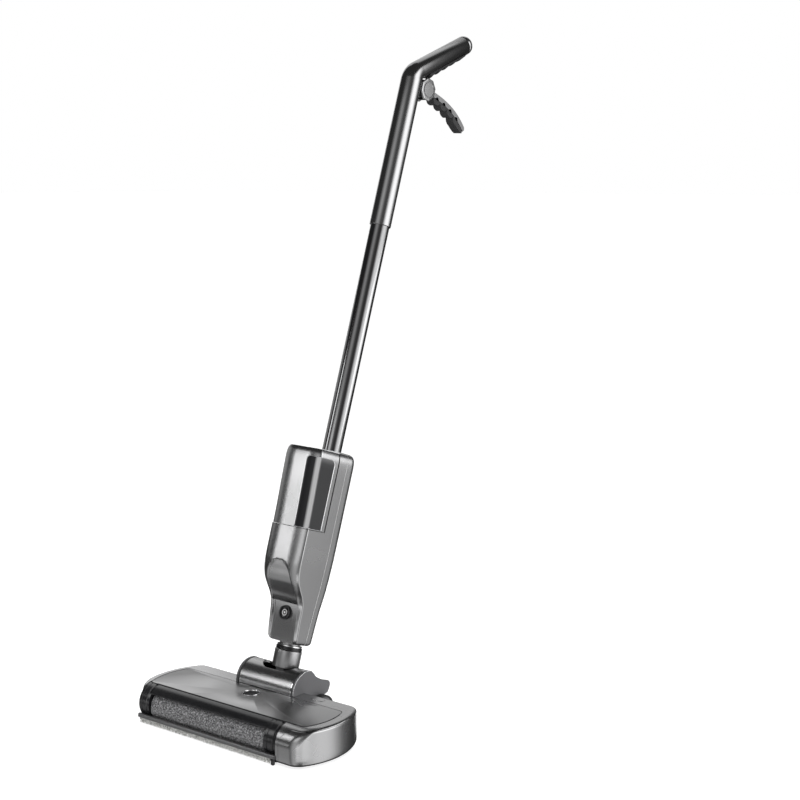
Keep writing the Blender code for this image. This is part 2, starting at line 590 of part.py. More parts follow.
def make_body(mats, roll):
    for word, low, high in (("front", -0.2, BODY_SPLIT - GAP / 2), ("rear", BODY_SPLIT + GAP / 2, 0.2)):
        shell = body_form(f"{word}_shell", mats["grey"], roll)
        combine(shell, box(f"{word}_half", (-0.1, low, 0.0), (0.1, high, 0.5), None, roll), "INTERSECT")
        combine(shell, lower_cavity(f"{word}_lower_cavity", roll))
        combine(shell, upper_cavity(f"{word}_upper_cavity", roll))
        combine(shell, disc(f"{word}_stem_hole", [(0.0177, 0.05), (0.0177, 0.09)], None, roll))
        combine(shell, disc(f"{word}_pole_hole", [(0.0165, 0.37), (0.0165, 0.40)], None, roll, sides=32))
        if word == "front":
            pocket = box("tank_pocket", (-0.1, -0.1, STEP_HEIGHT - GAP), (0.1, -0.0202, 0.5), None, roll)
            combine(shell, pocket)
            combine(shell, scoop_cutter(roll))
            combine(shell, disc("bezel_hole", [(0.0119, -0.06), (0.0119, -0.01)], None, roll, axis="y",
                                centre=(0, 0, BUTTON_HEIGHT), sides=20))
            combine(shell, disc("valve_hole", [(0.0066, 0.24), (0.0066, 0.27)], None, roll,
                                centre=(0, VALVE_Y, 0), sides=20))


def make_button(mats, roll):
    centre = (0, 0, BUTTON_HEIGHT)
    pipe("power_bezel", 0.0116, 0.0092, -0.0312, -0.0245, mats["black"], roll, axis="y", centre=centre,
         sides=20)
    disc("power_button", [(0.0080, -0.0302), (0.0089, -0.0297), (0.0089, -0.0230)], mats["dark_grey"], roll,
         axis="y", centre=centre, sides=20)
    box("control_board", (-0.0200, -0.0140, 0.0850), (0.0200, -0.0124, 0.1450), mats["board"], roll)


def make_water_tank(mats, roll):
    """The lift-off water tank: a hollow pod with a smoked window round its front right corner."""
    tank = body_form("water_tank", mats["grey"], roll, TANK_INSET, STEP_HEIGHT - 0.0001, BODY_TOP)
    keep = box("tank_keep", (-0.1, -0.1, STEP_HEIGHT + GAP), (0.1, TANK_BACK, TANK_TOP), None, roll)
    combine(tank, keep, "INTERSECT")
    rings = []
    for z in (STEP_HEIGHT + 0.0035, 0.3740):
        section = body_section(0.0345, tank_front(z) + 0.0033, TANK_BACK - 0.0030, 0.0250, 0.0070, 0.0060)
        rings.append([(x, y, z) for x, y in section])
    combine(tank, loft("tank_hollow", rings, None, roll))
    mouth = disc("tank_mouth", [(0.0045, 0.25), (0.0045, 0.27)], None, roll, centre=(0, VALVE_Y, 0), sides=20)
    combine(tank, mouth)
    combine(tank, window_solid("window_seat", 0.0018, 0.0004, None, roll))
    window_solid("tank_window", 0.0015, 0.0, mats["window"], roll)
    disc("tank_valve", [(0.0040, 0.2475), (0.0062, 0.2490), (0.0062, STEP_HEIGHT)], mats["rubber"], roll,
         centre=(0, VALVE_Y, 0), sides=20)


def tank_front(height):
    """Where the tank's front face is at a height: it leans forward towards its top."""
    low, high = BODY_LEVELS[-5], BODY_LEVELS[-4]
    share = min(max((height - low[0]) / (high[0] - low[0]), 0.0), 1.0)
    return low[2] + (high[2] - low[2]) * share + TANK_INSET


def window_solid(name, depth, margin, material, roll):
    """A thin curved panel that wraps the tank's front right corner, with its upper corners cut round."""
    half, across, deep = 0.0386, 0.0281, 0.0096
    start, end = 0.0130 - margin, -0.0302 + margin
    low, high = STEP_HEIGHT + 0.0016 - margin, 0.3720 + margin
    rings = []
    for z, trim in ((low, 0.0), (high - 0.0045, 0.0), (high - 0.0013, 0.0013), (high, 0.0045)):
        centre = (half - across, tank_front(z) - 0.0001 + deep)
        first = -math.degrees(math.acos((start + trim - centre[0]) / across))
        section = []
        for inset, order in ((0.0, 1), (depth, -1)):
            bend = oval(centre, across - inset, deep - inset, first, 0, 8)
            section += (bend + [(half - inset, end - trim)])[::order]
        rings.append([(x, y, z) for x, y in section])
    return loft(name, rings, material, roll)


def make_insides(mats, roll):
    box("battery_pack", (-0.0275, -0.0080, 0.1500), (0.0275, 0.0185, 0.2450), mats["plastic"], roll)
    disc("water_pump", [(0.0125, 0.1900), (0.0125, 0.2380)], mats["dark_grey"], roll, centre=(0, -0.036, 0),
         sides=20)


# ---- pole, grip and lever -----------------------------------------------------------------------------
def make_pole(mats, roll):
    pipe("lower_pole", POLE_RADIUS, 0.0147, POLE_START, POLE_END, mats["black_tube"], roll)
    disc("pull_rod", [(0.0012, 0.3300), (0.0012, 1.0000)], mats["steel"], roll, centre=(0, 0.007, 0), sides=8)


def grip_frame(distance):
    """Centre and cross direction of the grip at a distance from the bend's vertex, in the pole's frame."""
    along = (math.sin(GRIP_ANGLE), math.cos(GRIP_ANGLE))
    return (along[0] * distance, BEND_VERTEX + along[1] * distance), (-along[1], along[0])


def tube_stations():
    """(centre, cross direction, radius) along the handle tube, with the bend as an arc that draws it in."""
    reach = BEND_RADIUS * math.tan(GRIP_ANGLE / 2)
    stations = [((0.0, z), (-1.0, 0.0), TUBE_RADIUS) for z in (TUBE_START, BEND_VERTEX - reach)]
    steps = 6
    for i in range(1, steps + 1):
        turn = GRIP_ANGLE * i / steps
        y, z = BEND_RADIUS - BEND_RADIUS * math.cos(turn), BEND_VERTEX - reach + BEND_RADIUS * math.sin(turn)
        radius = TUBE_RADIUS + (GRIP_RADIUS - TUBE_RADIUS) * i / steps
        stations.append(((y, z), (-math.cos(turn), math.sin(turn)), radius))
    stations.append((*grip_frame(GRIP_LENGTH - CAP_LENGTH), GRIP_RADIUS))
    return stations


def tube_ring(station, radius, sides=20):
    (y, z), (cy, cz) = station
    ring = []
    for i in range(sides):
        angle = 2 * math.pi * i / sides
        across, sideways = radius * math.cos(angle), radius * math.sin(angle)
        ring.append((sideways, y + cy * across, z + cz * across))
    return ring


def make_handle(mats, roll):
    stations = tube_stations()
    wall = TUBE_RADIUS - TUBE_BORE
    outer = [tube_ring((centre, cross), radius) for centre, cross, radius in stations]
    inner = [tube_ring((centre, cross), radius - wall) for centre, cross, radius in stations]
    hollow_loft("handle_tube", outer, inner, mats["tube"], roll)
    end = GRIP_LENGTH - CAP_LENGTH
    plug, corner = GRIP_RADIUS - wall - GAP, 0.0120
    profile = [(end - 0.012, plug), (end + 0.0002, plug), (end + 0.0003, GRIP_RADIUS), (end + 0.0040, GRIP_RADIUS)]
    for i in range(1, 4):
        turn = math.radians(30 * i)
        profile.append((end + 0.0040 + corner * math.sin(turn), GRIP_RADIUS + corner * (math.cos(turn) - 1)))
    loft("grip_end_cap", [tube_ring(grip_frame(s), r) for s, r in profile], mats["grey"], roll)
    make_grip_pad(mats, roll)


def make_grip_pad(mats, roll):
    """Rubber strip under the grip, with five ramped ridges for the fingers."""
    first, pitch, ridges = 0.034, 0.0212, 5
    stations = []
    for ridge in range(ridges):
        start, deep = first + ridge * pitch, 0.0052 - 0.0006 * ridge
        stations += [(start, deep), (start + pitch * 0.5, deep * 0.62 + 0.0004)]
        stations.append((start + pitch - 0.0012, 0.0014))
    rings = []
    for distance, depth in stations:
        (y, z), (cy, cz) = grip_frame(distance)
        ring = []
        inner = GRIP_RADIUS + GAP
        for radius, angles in ((inner, range(-48, 49, 16)), (inner + depth, range(48, -49, -16))):
            for degrees in angles:
                angle = math.radians(degrees)
                across, sideways = -radius * math.cos(angle), radius * math.sin(angle)
                ring.append((sideways, y + cy * across, z + cz * across))
        rings.append(ring)
    loft("grip_pad", rings, mats["rubber"], roll)


def lever_line(distance, drop):
    """A point on the lever, distance out from the hub and drop below its gently curved top edge."""
    start, bow = math.radians(-1.5), math.radians(17.0)
    share = distance / 0.130
    angle = start - bow * share * share * 0.75
    reach = distance * LEVER_SCALE
    y = HUB[1] + reach * math.cos(math.radians(7)) - drop * math.sin(math.radians(12) * share)
    z = HUB[2] + 0.0035 + reach * math.tan(angle) * 0.88 - drop
    return y, z


def scallop(distance):
    """Depth of the wave in the top bar's lower edge."""
    if not 0.030 < distance < 0.124:
        return 0.0
    return 0.0038 * max(0.0, math.sin(2 * math.pi * (distance - 0.030) / LOBE_PITCH))


def make_lever(mats, roll):
    axis = empty("lever_axis", HUB, parent=roll)

    def local(outline):
        return [(y - HUB[1], z - HUB[2]) for y, z in outline]

    # top bar with a scalloped lower edge: one scallop above each gap between the finger lobes
    top = [lever_line(0.0145 + 0.0119 * i, 0.0) for i in range(11)]
    under = []
    for i in range(33):
        distance = 0.134 - 0.1195 * i / 32
        under.append(lever_line(distance, 0.0082 - scallop(distance)))
    outline = local(top + [lever_line(0.136, 0.0035)] + under)
    lever = prism("squeeze_lever", outline, "x", -0.0084, 0.0084, mats["grey"], axis)
    eye = disc("lever_eye", [(0.0172, -0.0088), (0.0172, 0.0088)], None, axis, axis="x", sides=28)
    combine(lever, eye, "UNION")
    gap = [(0.0060, 0.03), (-0.03, 0.03), (-0.03, -0.03), (0.0060, -0.03)]
    gap += arc((0, 0), 0.0125, -61.3, 61.3, 8)
    combine(lever, prism("mount_gap", gap, "x", -0.0053, 0.0053, None, axis))
    combine(lever, disc("lever_bore", [(0.0033, -0.02), (0.0033, 0.02)], None, axis, axis="x", sides=16))

    lobes = [lever_line(0.0245, 0.0085)]
    for i in range(33):
        distance = 0.0245 + 0.107 * i / 32
        lobes.append(lever_line(distance, 0.0086 + 0.25 * scallop(distance)))
    for i in range(41):
        distance = 0.1330 - 0.108 * i / 40
        phase = ((distance - 0.0245) / LOBE_PITCH) % 1.0
        depth = 0.0062 * (1 - abs(2 * phase - 1) ** 3) + 0.0024
        if distance > 0.112:
            depth = 0.0082 * math.sqrt(max(0.05, 1 - ((distance - 0.112) / 0.023) ** 2))
        lobes.append(lever_line(distance, 0.0090 + depth))
    prism("lever_pad", local(lobes), "x", -0.0080, 0.0080, mats["rubber"], axis)


def make_lever_mount(mats, roll):
    y, z = HUB[1], HUB[2]
    tube_back = TUBE_RADIUS + GAP
    outline = [(tube_back, z - 0.019), (tube_back + 0.004, z - 0.019)]
    outline += arc((y, z), 0.0115, -70, 100, 12)
    outline += [(tube_back + 0.006, z + 0.0140), (tube_back, z + 0.0040)]
    mount = prism("lever_mount", outline, "x", -0.0049, 0.0049, mats["plastic"], roll)
    combine(mount, disc("spring_pocket", [(0.0078, -0.01), (0.0078, 0.01)], None, roll, axis="x", centre=HUB))
    pin = [(0.0030, -0.0089), (0.0030, 0.0089)]
    disc("hub_pin", pin, mats["steel"], roll, axis="x", centre=HUB, sides=14)
    for word, side in (("right", 1), ("left", -1)):
        face, groove = side * 0.0118, side * 0.0112
        steps = [(HUB_RADIUS, side * 0.0092), (HUB_RADIUS, side * 0.0108), (HUB_RADIUS - 0.0016, face),
                 (HUB_RADIUS - 0.0060, face), (HUB_RADIUS - 0.0064, groove), (HUB_RADIUS - 0.0080, groove),
                 (HUB_RADIUS - 0.0084, face)]
        disc(f"hub_cap_{word}", steps, mats["grey"], roll, axis="x", centre=HUB, sides=8, phase=math.pi / 8)
    make_spring(mats, roll)


def make_spring(mats, roll):
    """Torsion spring round the lever's pin."""
    turns, per_turn, wire, radius, sides = 4, 10, 0.0007, 0.0055, 4
    rings = []
    for i in range(turns * per_turn + 1):
        angle = 2 * math.pi * i / per_turn
        x = -0.0036 + 0.0072 * i / (turns * per_turn)
        ring = []
        for j in range(sides):
            turn = 2 * math.pi * j / sides
            reach = radius + wire * math.cos(turn)
            y, z = HUB[1] + reach * math.cos(angle), HUB[2] + reach * math.sin(angle)
            ring.append((HUB[0] + x + wire * math.sin(turn), y, z))
        rings.append(ring)
    loft("lever_spring", rings, mats["steel"], roll)


# ---- assembly -----------------------------------------------------------------------------------------
def main():
    for old in list(bpy.data.objects):
        bpy.data.objects.remove(old, do_unlink=True)
    mats = make_finishes()
    make_head_shell(mats)
    make_end_caps(mats)
    make_head_base(mats)
    make_front_edge(mats)
    make_wiper(mats)
    make_roller(mats)
    make_bearing_blocks(mats)
    make_hood(mats)
    make_drive(mats)
    make_release_button(mats)
    make_dirty_tank(mats)
    make_carriage(mats)
    pitch = empty("pitch_axis", PIVOT, (-POLE_LEAN, 0, 0))
    roll = empty("roll_axis", (0, 0, 0), (0, POLE_ROLL, 0), pitch)
    make_barrel(mats, pitch)
    make_neck(mats, roll)
    make_body(mats, roll)
    make_button(mats, roll)
    make_water_tank(mats, roll)
    make_insides(mats, roll)
    make_pole(mats, roll)
    make_handle(mats, roll)
    make_lever_mount(mats, roll)
    make_lever(mats, roll)


main()
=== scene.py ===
from math import atan, atan2, cos, degrees, dist, hypot, pi, radians, sin, sqrt, tan
from random import seed, uniform

import bmesh
import bpy
from mathutils import Matrix, Vector, noise


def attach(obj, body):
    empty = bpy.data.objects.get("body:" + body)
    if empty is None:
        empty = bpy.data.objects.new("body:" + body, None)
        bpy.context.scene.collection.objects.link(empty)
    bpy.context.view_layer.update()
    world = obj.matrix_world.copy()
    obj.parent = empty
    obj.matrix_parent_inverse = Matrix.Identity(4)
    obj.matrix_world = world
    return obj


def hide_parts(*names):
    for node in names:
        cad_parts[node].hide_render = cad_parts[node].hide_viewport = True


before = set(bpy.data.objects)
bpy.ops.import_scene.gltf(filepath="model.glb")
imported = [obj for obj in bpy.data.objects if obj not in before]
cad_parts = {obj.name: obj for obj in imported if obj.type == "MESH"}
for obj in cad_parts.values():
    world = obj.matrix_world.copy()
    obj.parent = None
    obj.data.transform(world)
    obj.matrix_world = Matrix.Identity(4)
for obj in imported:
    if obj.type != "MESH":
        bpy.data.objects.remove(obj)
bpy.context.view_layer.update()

seed(7)

# ---- sizes, as in the CAD model ----
HEAD_TOP, HEAD_BACK, HEAD_BOTTOM = 0.061, 0.073, 0.003
TOP_EDGE, BOTTOM_EDGE = 0.0065, 0.0085   # heights of the head's rounded edges
GAP = 0.0006                             # between fixed pieces of the head
END_ARC_CENTRE, END_ARC_RADIUS = 0.077, 0.117
HOOD_RADIUS, HOOD_HEIGHT = 0.03, 0.031
ROLLER_RADIUS, ROLLER_Y, ROLLER_Z = 0.027, -0.043, 0.027
ROLLER_LEFT, ROLLER_RIGHT = -0.1485, 0.102
BLOCK_LEFT, BLOCK_RIGHT = -0.172, 0.128
OPENING_LEFT, OPENING_RIGHT = -0.174, 0.13
COVER_FRONT, COVER_BACK = -0.0456, 0.0411
LATCH = (-0.006, 0.017)
PIVOT = (0.0065, 0.075, 0.061)
LEAN, ROLL = radians(17.6), radians(1.4)
BARREL_RADIUS, BARREL_BORE = 0.033, 0.0295
BARREL_LEFT, BARREL_RIGHT = -0.058, 0.0565
SLOT_LEFT, SLOT_RIGHT = -0.0405, 0.0315
NECK_RADIUS = 0.0223
BRACKET = 0.004
WHEEL_RADIUS, WHEEL_Y, WHEEL_WIDTH = 0.0245, 0.104, 0.0105
BODY_SPLIT, STEP_HEIGHT = 0.0005, 0.2555
TANK_BACK, TANK_TOP, TANK_INSET, BUTTON_HEIGHT = -0.0215, 0.385, 0.001, 0.117
POLE_RADIUS, TUBE_RADIUS, TUBE_BORE, TUBE_START = 0.016, 0.018, 0.0163, 0.772
BEND_VERTEX, BEND_RADIUS, GRIP_RADIUS, GRIP_ANGLE, GRIP_LENGTH = 1.0382, 0.025, 0.0163, radians(51.5), 0.163
HUB, HUB_RADIUS, LEVER_SCALE = (0.0, 0.036, 1.022), 0.02, 0.91
FINGER_PITCH, LOBE_START, EYE_RADIUS, HUB_BORE = 0.0235, 0.0245, 0.0172, 0.0033
PITCH = Matrix.Translation(PIVOT) @ Matrix.Rotation(-LEAN, 4, "X")
STICK = PITCH @ Matrix.Rotation(ROLL, 4, "Y")
WORLD = Matrix.Identity(4)


# ---- materials ----
SPECKLE, WAVE = 0.00002, 0.0002         # depths of a surface's fine grain and of its slow waves
# the window's pale strip is a painted highlight: a lamp's reflection painted into its colour
WINDOW_PAINTED_HIGHLIGHT = (0.028, 0.0386)          # where the window's pale strip starts and ends, across the tank


class Nodes:
    """A material's node tree, with short calls for the nodes that the finishes here use."""

    def __init__(self, name):
        self.material = bpy.data.materials.new(name)
        self.material.use_nodes = True
        self.tree = self.material.node_tree
        self.shader = self.tree.nodes["Principled BSDF"]
        self.place = self.tree.nodes.new("ShaderNodeTexCoord").outputs["Object"]

    def fill(self, node, **inputs):
        """Sets a node's inputs: another node's output is linked, anything else is a constant."""
        for key, value in inputs.items():
            socket = node.inputs[key.replace("_", " ")]
            if isinstance(value, bpy.types.NodeSocket):
                self.tree.links.new(value, socket)
            else:
                socket.default_value = value
        return node

    def add(self, kind, **inputs):
        return self.fill(self.tree.nodes.new(kind), **inputs)

    def set(self, **inputs):
        self.fill(self.shader, **inputs)

    def noise(self, scale, detail=2.0, rough=0.5, stretch=None):
        place = self.place
        if stretch:
            place = self.add("ShaderNodeMapping", Vector=place, Scale=stretch).outputs["Vector"]
        node = self.add("ShaderNodeTexNoise", Vector=place, Scale=scale, Detail=detail, Roughness=rough)
        return node.outputs["Fac"]

    def spread(self, value, low, high, start=0.3, end=0.7):
        """Stretches the part of a value between start and end to run from low to high."""
        node = self.add("ShaderNodeMapRange", Value=value, From_Min=start, From_Max=end, To_Min=low,
                        To_Max=high)
        return node.outputs["Result"]

    def gloss(self, low, high):
        """A roughness that wanders between two values in soft patches."""
        self.set(Roughness=self.spread(self.noise(14.0, 3.0, 0.55), low, high))

    def colours(self, value, stops):
        node = self.add("ShaderNodeValToRGB", Fac=value)
        ramp = node.color_ramp
        while len(ramp.elements) < len(stops):
            ramp.elements.new(0.5)
        for element, (place, colour) in zip(ramp.elements, stops):
            element.position = place
            element.color = (*colour, 1.0)
        self.set(Base_Color=node.outputs["Color"])

    def bump(self, *layers):
        """Bumps on top of each other: each layer is its height, strength and distance."""
        normal = None
        for height, strength, distance in layers:
            node = self.add("ShaderNodeBump", Height=height, Strength=strength, Distance=distance)
            if normal:
                self.fill(node, Normal=normal)
            normal = node.outputs["Normal"]
        self.set(Normal=normal)


def shades(colour, spread):
    return [tuple(c * k for c in colour) for k in (1 - spread, 1 + spread)]


def finish(name, colour, roughness, spread, grain, uneven, texture, coat=0.0, stretch=None, metallic=0.0):
    """A moulded or painted surface: fine speckle in its colour, uneven gloss and a fine texture."""
    nodes = Nodes(name)
    nodes.set(Metallic=metallic, Coat_Weight=coat, Coat_Roughness=0.06)
    dark, light = shades(colour, spread)
    nodes.colours(nodes.noise(grain, 3.0, 0.6, stretch), [(0.35, dark), (0.65, light)])
    nodes.gloss(roughness - uneven, roughness + uneven)
    nodes.bump((nodes.noise(grain * 1.4, 2.0, 0.5, stretch), texture, SPECKLE),
               (nodes.noise(40.0, 1.0), 0.03, WAVE))
    return nodes.material


def pile_finish(name, dark, middle, light):
    """A surface of fine threads, in three tones."""
    nodes = Nodes(name)
    nodes.set(Roughness=0.52, Metallic=0.45, Sheen_Weight=0.1, Sheen_Roughness=0.4)
    nodes.colours(nodes.noise(420.0, 4.0, 0.7), [(0.38, dark), (0.52, middle), (0.68, light)])
    nodes.bump((nodes.noise(900.0, 3.0, 0.7), 0.9, 0.0006), (nodes.noise(260.0, 2.0), 0.6, 0.001))
    return nodes.material


def window_finish(name):
    """Smoked plastic with a painted highlight: a pale strip painted into its colour across its rounded
    corner, in place of a lamp's reflection.
    """
    nodes = Nodes(name)
    nodes.set(Specular_IOR_Level=0.22)
    offset = nodes.add("ShaderNodeVectorMath")
    offset.operation = "SUBTRACT"
    nodes.tree.links.new(nodes.place, offset.inputs[0])
    offset.inputs[1].default_value = STICK.translation
    across = nodes.add("ShaderNodeVectorMath")
    across.operation = "DOT_PRODUCT"
    nodes.tree.links.new(offset.outputs[0], across.inputs[0])
    across.inputs[1].default_value = STICK.to_3x3() @ Vector((1, 0, 0))
    # painted highlight: the pale band round the corner is colour standing in for a reflection
    share = nodes.spread(across.outputs["Value"], 0.0, 1.0, *WINDOW_PAINTED_HIGHLIGHT)
    black, pale = (0.014, 0.014, 0.015), (0.36, 0.36, 0.363)
    nodes.colours(share, [(0.14, black), (0.5, pale), (0.9, pale), (0.995, black)])
    nodes.gloss(0.03, 0.06)
    nodes.bump((nodes.noise(300.0, 2.0, 0.5), 0.004, SPECKLE), (nodes.noise(40.0, 1.0), 0.02, WAVE))
    return nodes.material


def make_finishes():
    metal = {"metallic": 1.0}
    return {
        "grey": finish("satin_grey", (0.34, 0.34, 0.343), 0.26, 0.05, 2400, 0.025, 0.08, **metal),
        "cover": finish("satin_grey_cover", (0.32, 0.32, 0.323), 0.3, 0.05, 2400, 0.03, 0.1, **metal),
        "tube": finish("satin_grey_tube", (0.34, 0.34, 0.343), 0.2, 0.05, 2600, 0.03, 0.05,
                       stretch=(1, 1, 0.08), **metal),
        "black": finish("gloss_black", (0.009, 0.009, 0.01), 0.24, 0.2, 700, 0.03, 0.02, 0.05),
        "neck": finish("satin_grey_neck", (0.3, 0.3, 0.303), 0.36, 0.05, 2400, 0.03, 0.06, **metal),
        "lip": finish("dark_lip", (0.2, 0.2, 0.203), 0.34, 0.08, 1500, 0.04, 0.15, metallic=0.9),
        "pole": finish("gloss_black_tube", (0.21, 0.21, 0.212), 0.12, 0.06, 900, 0.02, 0.02,
                       stretch=(1, 1, 0.1), **metal),
        "window": window_finish("smoked_window"),
        "dark": finish("dark_grey", (0.115, 0.115, 0.12), 0.42, 0.08, 1500, 0.04, 0.25, metallic=0.3),
        "plastic": finish("matt_black", (0.022, 0.022, 0.023), 0.55, 0.15, 1600, 0.05, 0.35),
        "rubber": finish("rubber_black", (0.016, 0.016, 0.017), 0.66, 0.2, 1200, 0.06, 0.4),
        "chrome": finish("chrome_trim", (0.8, 0.8, 0.81), 0.09, 0.02, 500, 0.02, 0.01, **metal),
        "rim": finish("bright_rim", (0.62, 0.62, 0.63), 0.22, 0.03, 900, 0.03, 0.03, metallic=0.9),
        "steel": finish("turned_steel", (0.52, 0.52, 0.53), 0.32, 0.05, 1200, 0.05, 0.1, **metal),
        "seam": finish("pale_seam", (0.55, 0.55, 0.55), 0.45, 0.04, 900, 0.04, 0.1),
        "glow": finish("pale_symbol", (0.8, 0.8, 0.8), 0.5, 0.03, 900, 0.03, 0.1),
        "board": finish("circuit_board", (0.02, 0.16, 0.06), 0.5, 0.5, 260, 0.08, 0.3),
        "pile": pile_finish("grey_microfibre", (0.035, 0.035, 0.037), (0.2, 0.2, 0.205), (0.62, 0.62, 0.63)),
        "bristle": pile_finish("pale_bristles", (0.25, 0.25, 0.24), (0.72, 0.72, 0.7), (0.92, 0.92, 0.9)),
    }


FINISHES = make_finishes()


# ---- shape helpers ----
SHARP = 38                               # a sharper turn than this, in degrees, is an edge


def make(name, vertices, faces, material, place=WORLD, sharp=SHARP):
    mesh = bpy.data.meshes.new(name)
    mesh.from_pydata([tuple(v) for v in vertices], [], faces)
    shape = bmesh.new()
    shape.from_mesh(mesh)
    bmesh.ops.recalc_face_normals(shape, faces=shape.faces)
    shape.to_mesh(mesh)
    shape.free()
    mesh.transform(place)
    mesh.shade_smooth()
    mesh.set_sharp_from_angle(angle=radians(sharp))
    if material:
        mesh.materials.append(FINISHES[material])
    piece = bpy.data.objects.new(name, mesh)
    bpy.context.scene.collection.objects.link(piece)
    return piece


def bridge(first, second, count):
    return [(first + i, first + (i + 1) % count, second + (i + 1) % count, second + i) for i in range(count)]


def loft(name, rings, material, place=WORLD, sharp=SHARP):
    """A solid skinned over rings of points, with flat ends."""
    count = len(rings[0])
    vertices = [point for ring in rings for point in ring]
    faces = [tuple(range(count)), tuple(range(len(vertices) - count, len(vertices)))]
    for level in range(len(rings) - 1):
        faces += bridge(level * count, (level + 1) * count, count)
    return make(name, vertices, faces, material, place, sharp)


def stacked(name, levels, material, place=WORLD):
    """A solid skinned over flat outlines: levels are (outline, height) pairs."""
    return loft(name, [[(x, y, z) for x, y in outline] for outline, z in levels], material, place)


def closed_loft(name, rings, material, place=WORLD):
    """A ring of rings: a torus-like solid with no ends."""
    count = len(rings[0])
    vertices = [point for ring in rings for point in ring]
    faces = []
    for level in range(len(rings)):
        faces += bridge(level * count, (level + 1) % len(rings) * count, count)
    return make(name, vertices, faces, material, place)


def turn_point(radius, along, angle, axis, centre):
    """A point at a radius and angle round an axis, and some way along it."""
    across = (radius * cos(angle), radius * sin(angle))
    offset = {"x": (along, *across), "y": (across[1], along, across[0]), "z": (*across, along)}[axis]
    return tuple(c + o for c, o in zip(centre, offset))


def turned(name, steps, material, place=WORLD, axis="z", centre=(0, 0, 0), sides=72):
    """A turned solid: steps are (radius, along) pairs from one flat end to the other."""
    turns = [2 * pi * i / sides for i in range(sides)]
    return loft(name, [[turn_point(r, a, turn, axis, centre) for turn in turns] for r, a in steps], material,
                place)


def drill(name, radius, low, high, place=STICK, axis="z", centre=(0, 0, 0), sides=72):
    """A plain round cutter."""
    return turned(name, [(radius, low), (radius, high)], None, place, axis, centre, sides)


def washer(name, steps, material, place=WORLD, axis="z", centre=(0, 0, 0), sides=72):
    """A turned ring: steps go round its section."""
    turns = [2 * pi * i / sides for i in range(sides)]
    rings = [[turn_point(r, a, turn, axis, centre) for r, a in steps] for turn in turns]
    return closed_loft(name, rings, material, place)


def pipe(name, outer, inner, low, high, material, place, axis="z", edge=0.0004, sides=72):
    steps = [(outer - edge, low), (outer, low + edge), (outer, high - edge), (outer - edge, high),
             (inner + edge, high), (inner, high - edge), (inner, low + edge), (inner + edge, low)]
    return washer(name, steps, material, place, axis, sides=sides)


def prism(name, outline, axis, low, high, material, place=WORLD):
    """An outline pushed from low to high along an axis."""
    rings = []
    for end in (low, high):
        rings.append([{"x": (end, a, b), "y": (a, end, b), "z": (a, b, end)}[axis] for a, b in outline])
    return loft(name, rings, material, place)


def box(name, low, high, material, place=WORLD):
    outline = [(low[0], low[1]), (high[0], low[1]), (high[0], high[1]), (low[0], high[1])]
    return prism(name, outline, "z", low[2], high[2], material, place)


def arc(centre, radius, start, end, steps):
    """Points along an arc, from one angle in degrees to another."""
    points = []
    for i in range(steps + 1):
        angle = radians(start + (end - start) * i / steps)
        points.append((centre[0] + radius * cos(angle), centre[1] + radius * sin(angle)))
    return points


def rounded(low, high, radius, steps=8):
    """A rectangle with round corners."""
    (x0, y0), (x1, y1) = low, high
    points = []
    for cx, cy, start in ((x1 - radius, y0 + radius, -90), (x1 - radius, y1 - radius, 0),
                          (x0 + radius, y1 - radius, 90), (x0 + radius, y0 + radius, 180)):
        points += arc((cx, cy), radius, start, start + 90, steps)
    return points


def smooth_step(value):
    value = min(1.0, max(0.0, value))
    return value * value * (3 - 2 * value)


def swept(name, points, radius, material, place=WORLD, sides=10, closed=False):
    """A round bead that follows points."""
    points = [Vector(p) for p in points]
    count = len(points)
    turns = [2 * pi * k / sides for k in range(sides)]
    rings = []
    normal = None
    for i, point in enumerate(points):
        before = points[i - 1] if closed or i else point
        after = points[(i + 1) % count] if closed or i < count - 1 else point
        along = (after - before).normalized()
        if normal is None:
            normal = along.orthogonal().normalized()
        normal = (normal - along * normal.dot(along)).normalized()
        side = along.cross(normal)
        rings.append([point + radius * (cos(turn) * normal + sin(turn) * side) for turn in turns])
    build = closed_loft if closed else loft
    return build(name, rings, material, place)


def cut(piece, *tools, operation="DIFFERENCE"):
    for tool in tools:
        modifier = piece.modifiers.new(tool.name, "BOOLEAN")
        modifier.operation = operation
        modifier.object = tool
    return piece


def settle(piece):
    """Applies the Booleans and drops their tools."""
    bpy.context.view_layer.update()
    tools = [m.object for m in piece.modifiers if m.type == "BOOLEAN"]
    shaped = bpy.data.meshes.new_from_object(piece.evaluated_get(bpy.context.evaluated_depsgraph_get()))
    piece.modifiers.clear()
    piece.data = shaped
    shaped.name = piece.name
    for tool in tools:
        bpy.data.objects.remove(tool)
    shaped.shade_smooth()
    shaped.set_sharp_from_angle(angle=radians(SHARP))
    return piece


def soften(piece, width, segments=2):
    """Rounds a piece's sharp edges a little."""
    bevel = piece.modifiers.new("edge", "BEVEL")
    bevel.width = width
    bevel.segments = segments
    bevel.limit_method = "ANGLE"
    bevel.angle_limit = radians(SHARP)
    bevel.harden_normals = True
    even = piece.modifiers.new("even", "WEIGHTED_NORMAL")
    even.keep_sharp = True
    even.weight = 80
    return piece


def put(piece, body, slot, *nodes):
    """Fixes a piece to its moving body, and hides the CAD nodes whose place it takes. The slot is not used.
    """
    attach(piece, body)
    if nodes:
        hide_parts(*nodes)
    return piece


def dress(node, material):
    """Gives a CAD node a better finish."""
    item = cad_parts[node]
    item.data.materials.clear()
    item.data.materials.append(FINISHES[material])


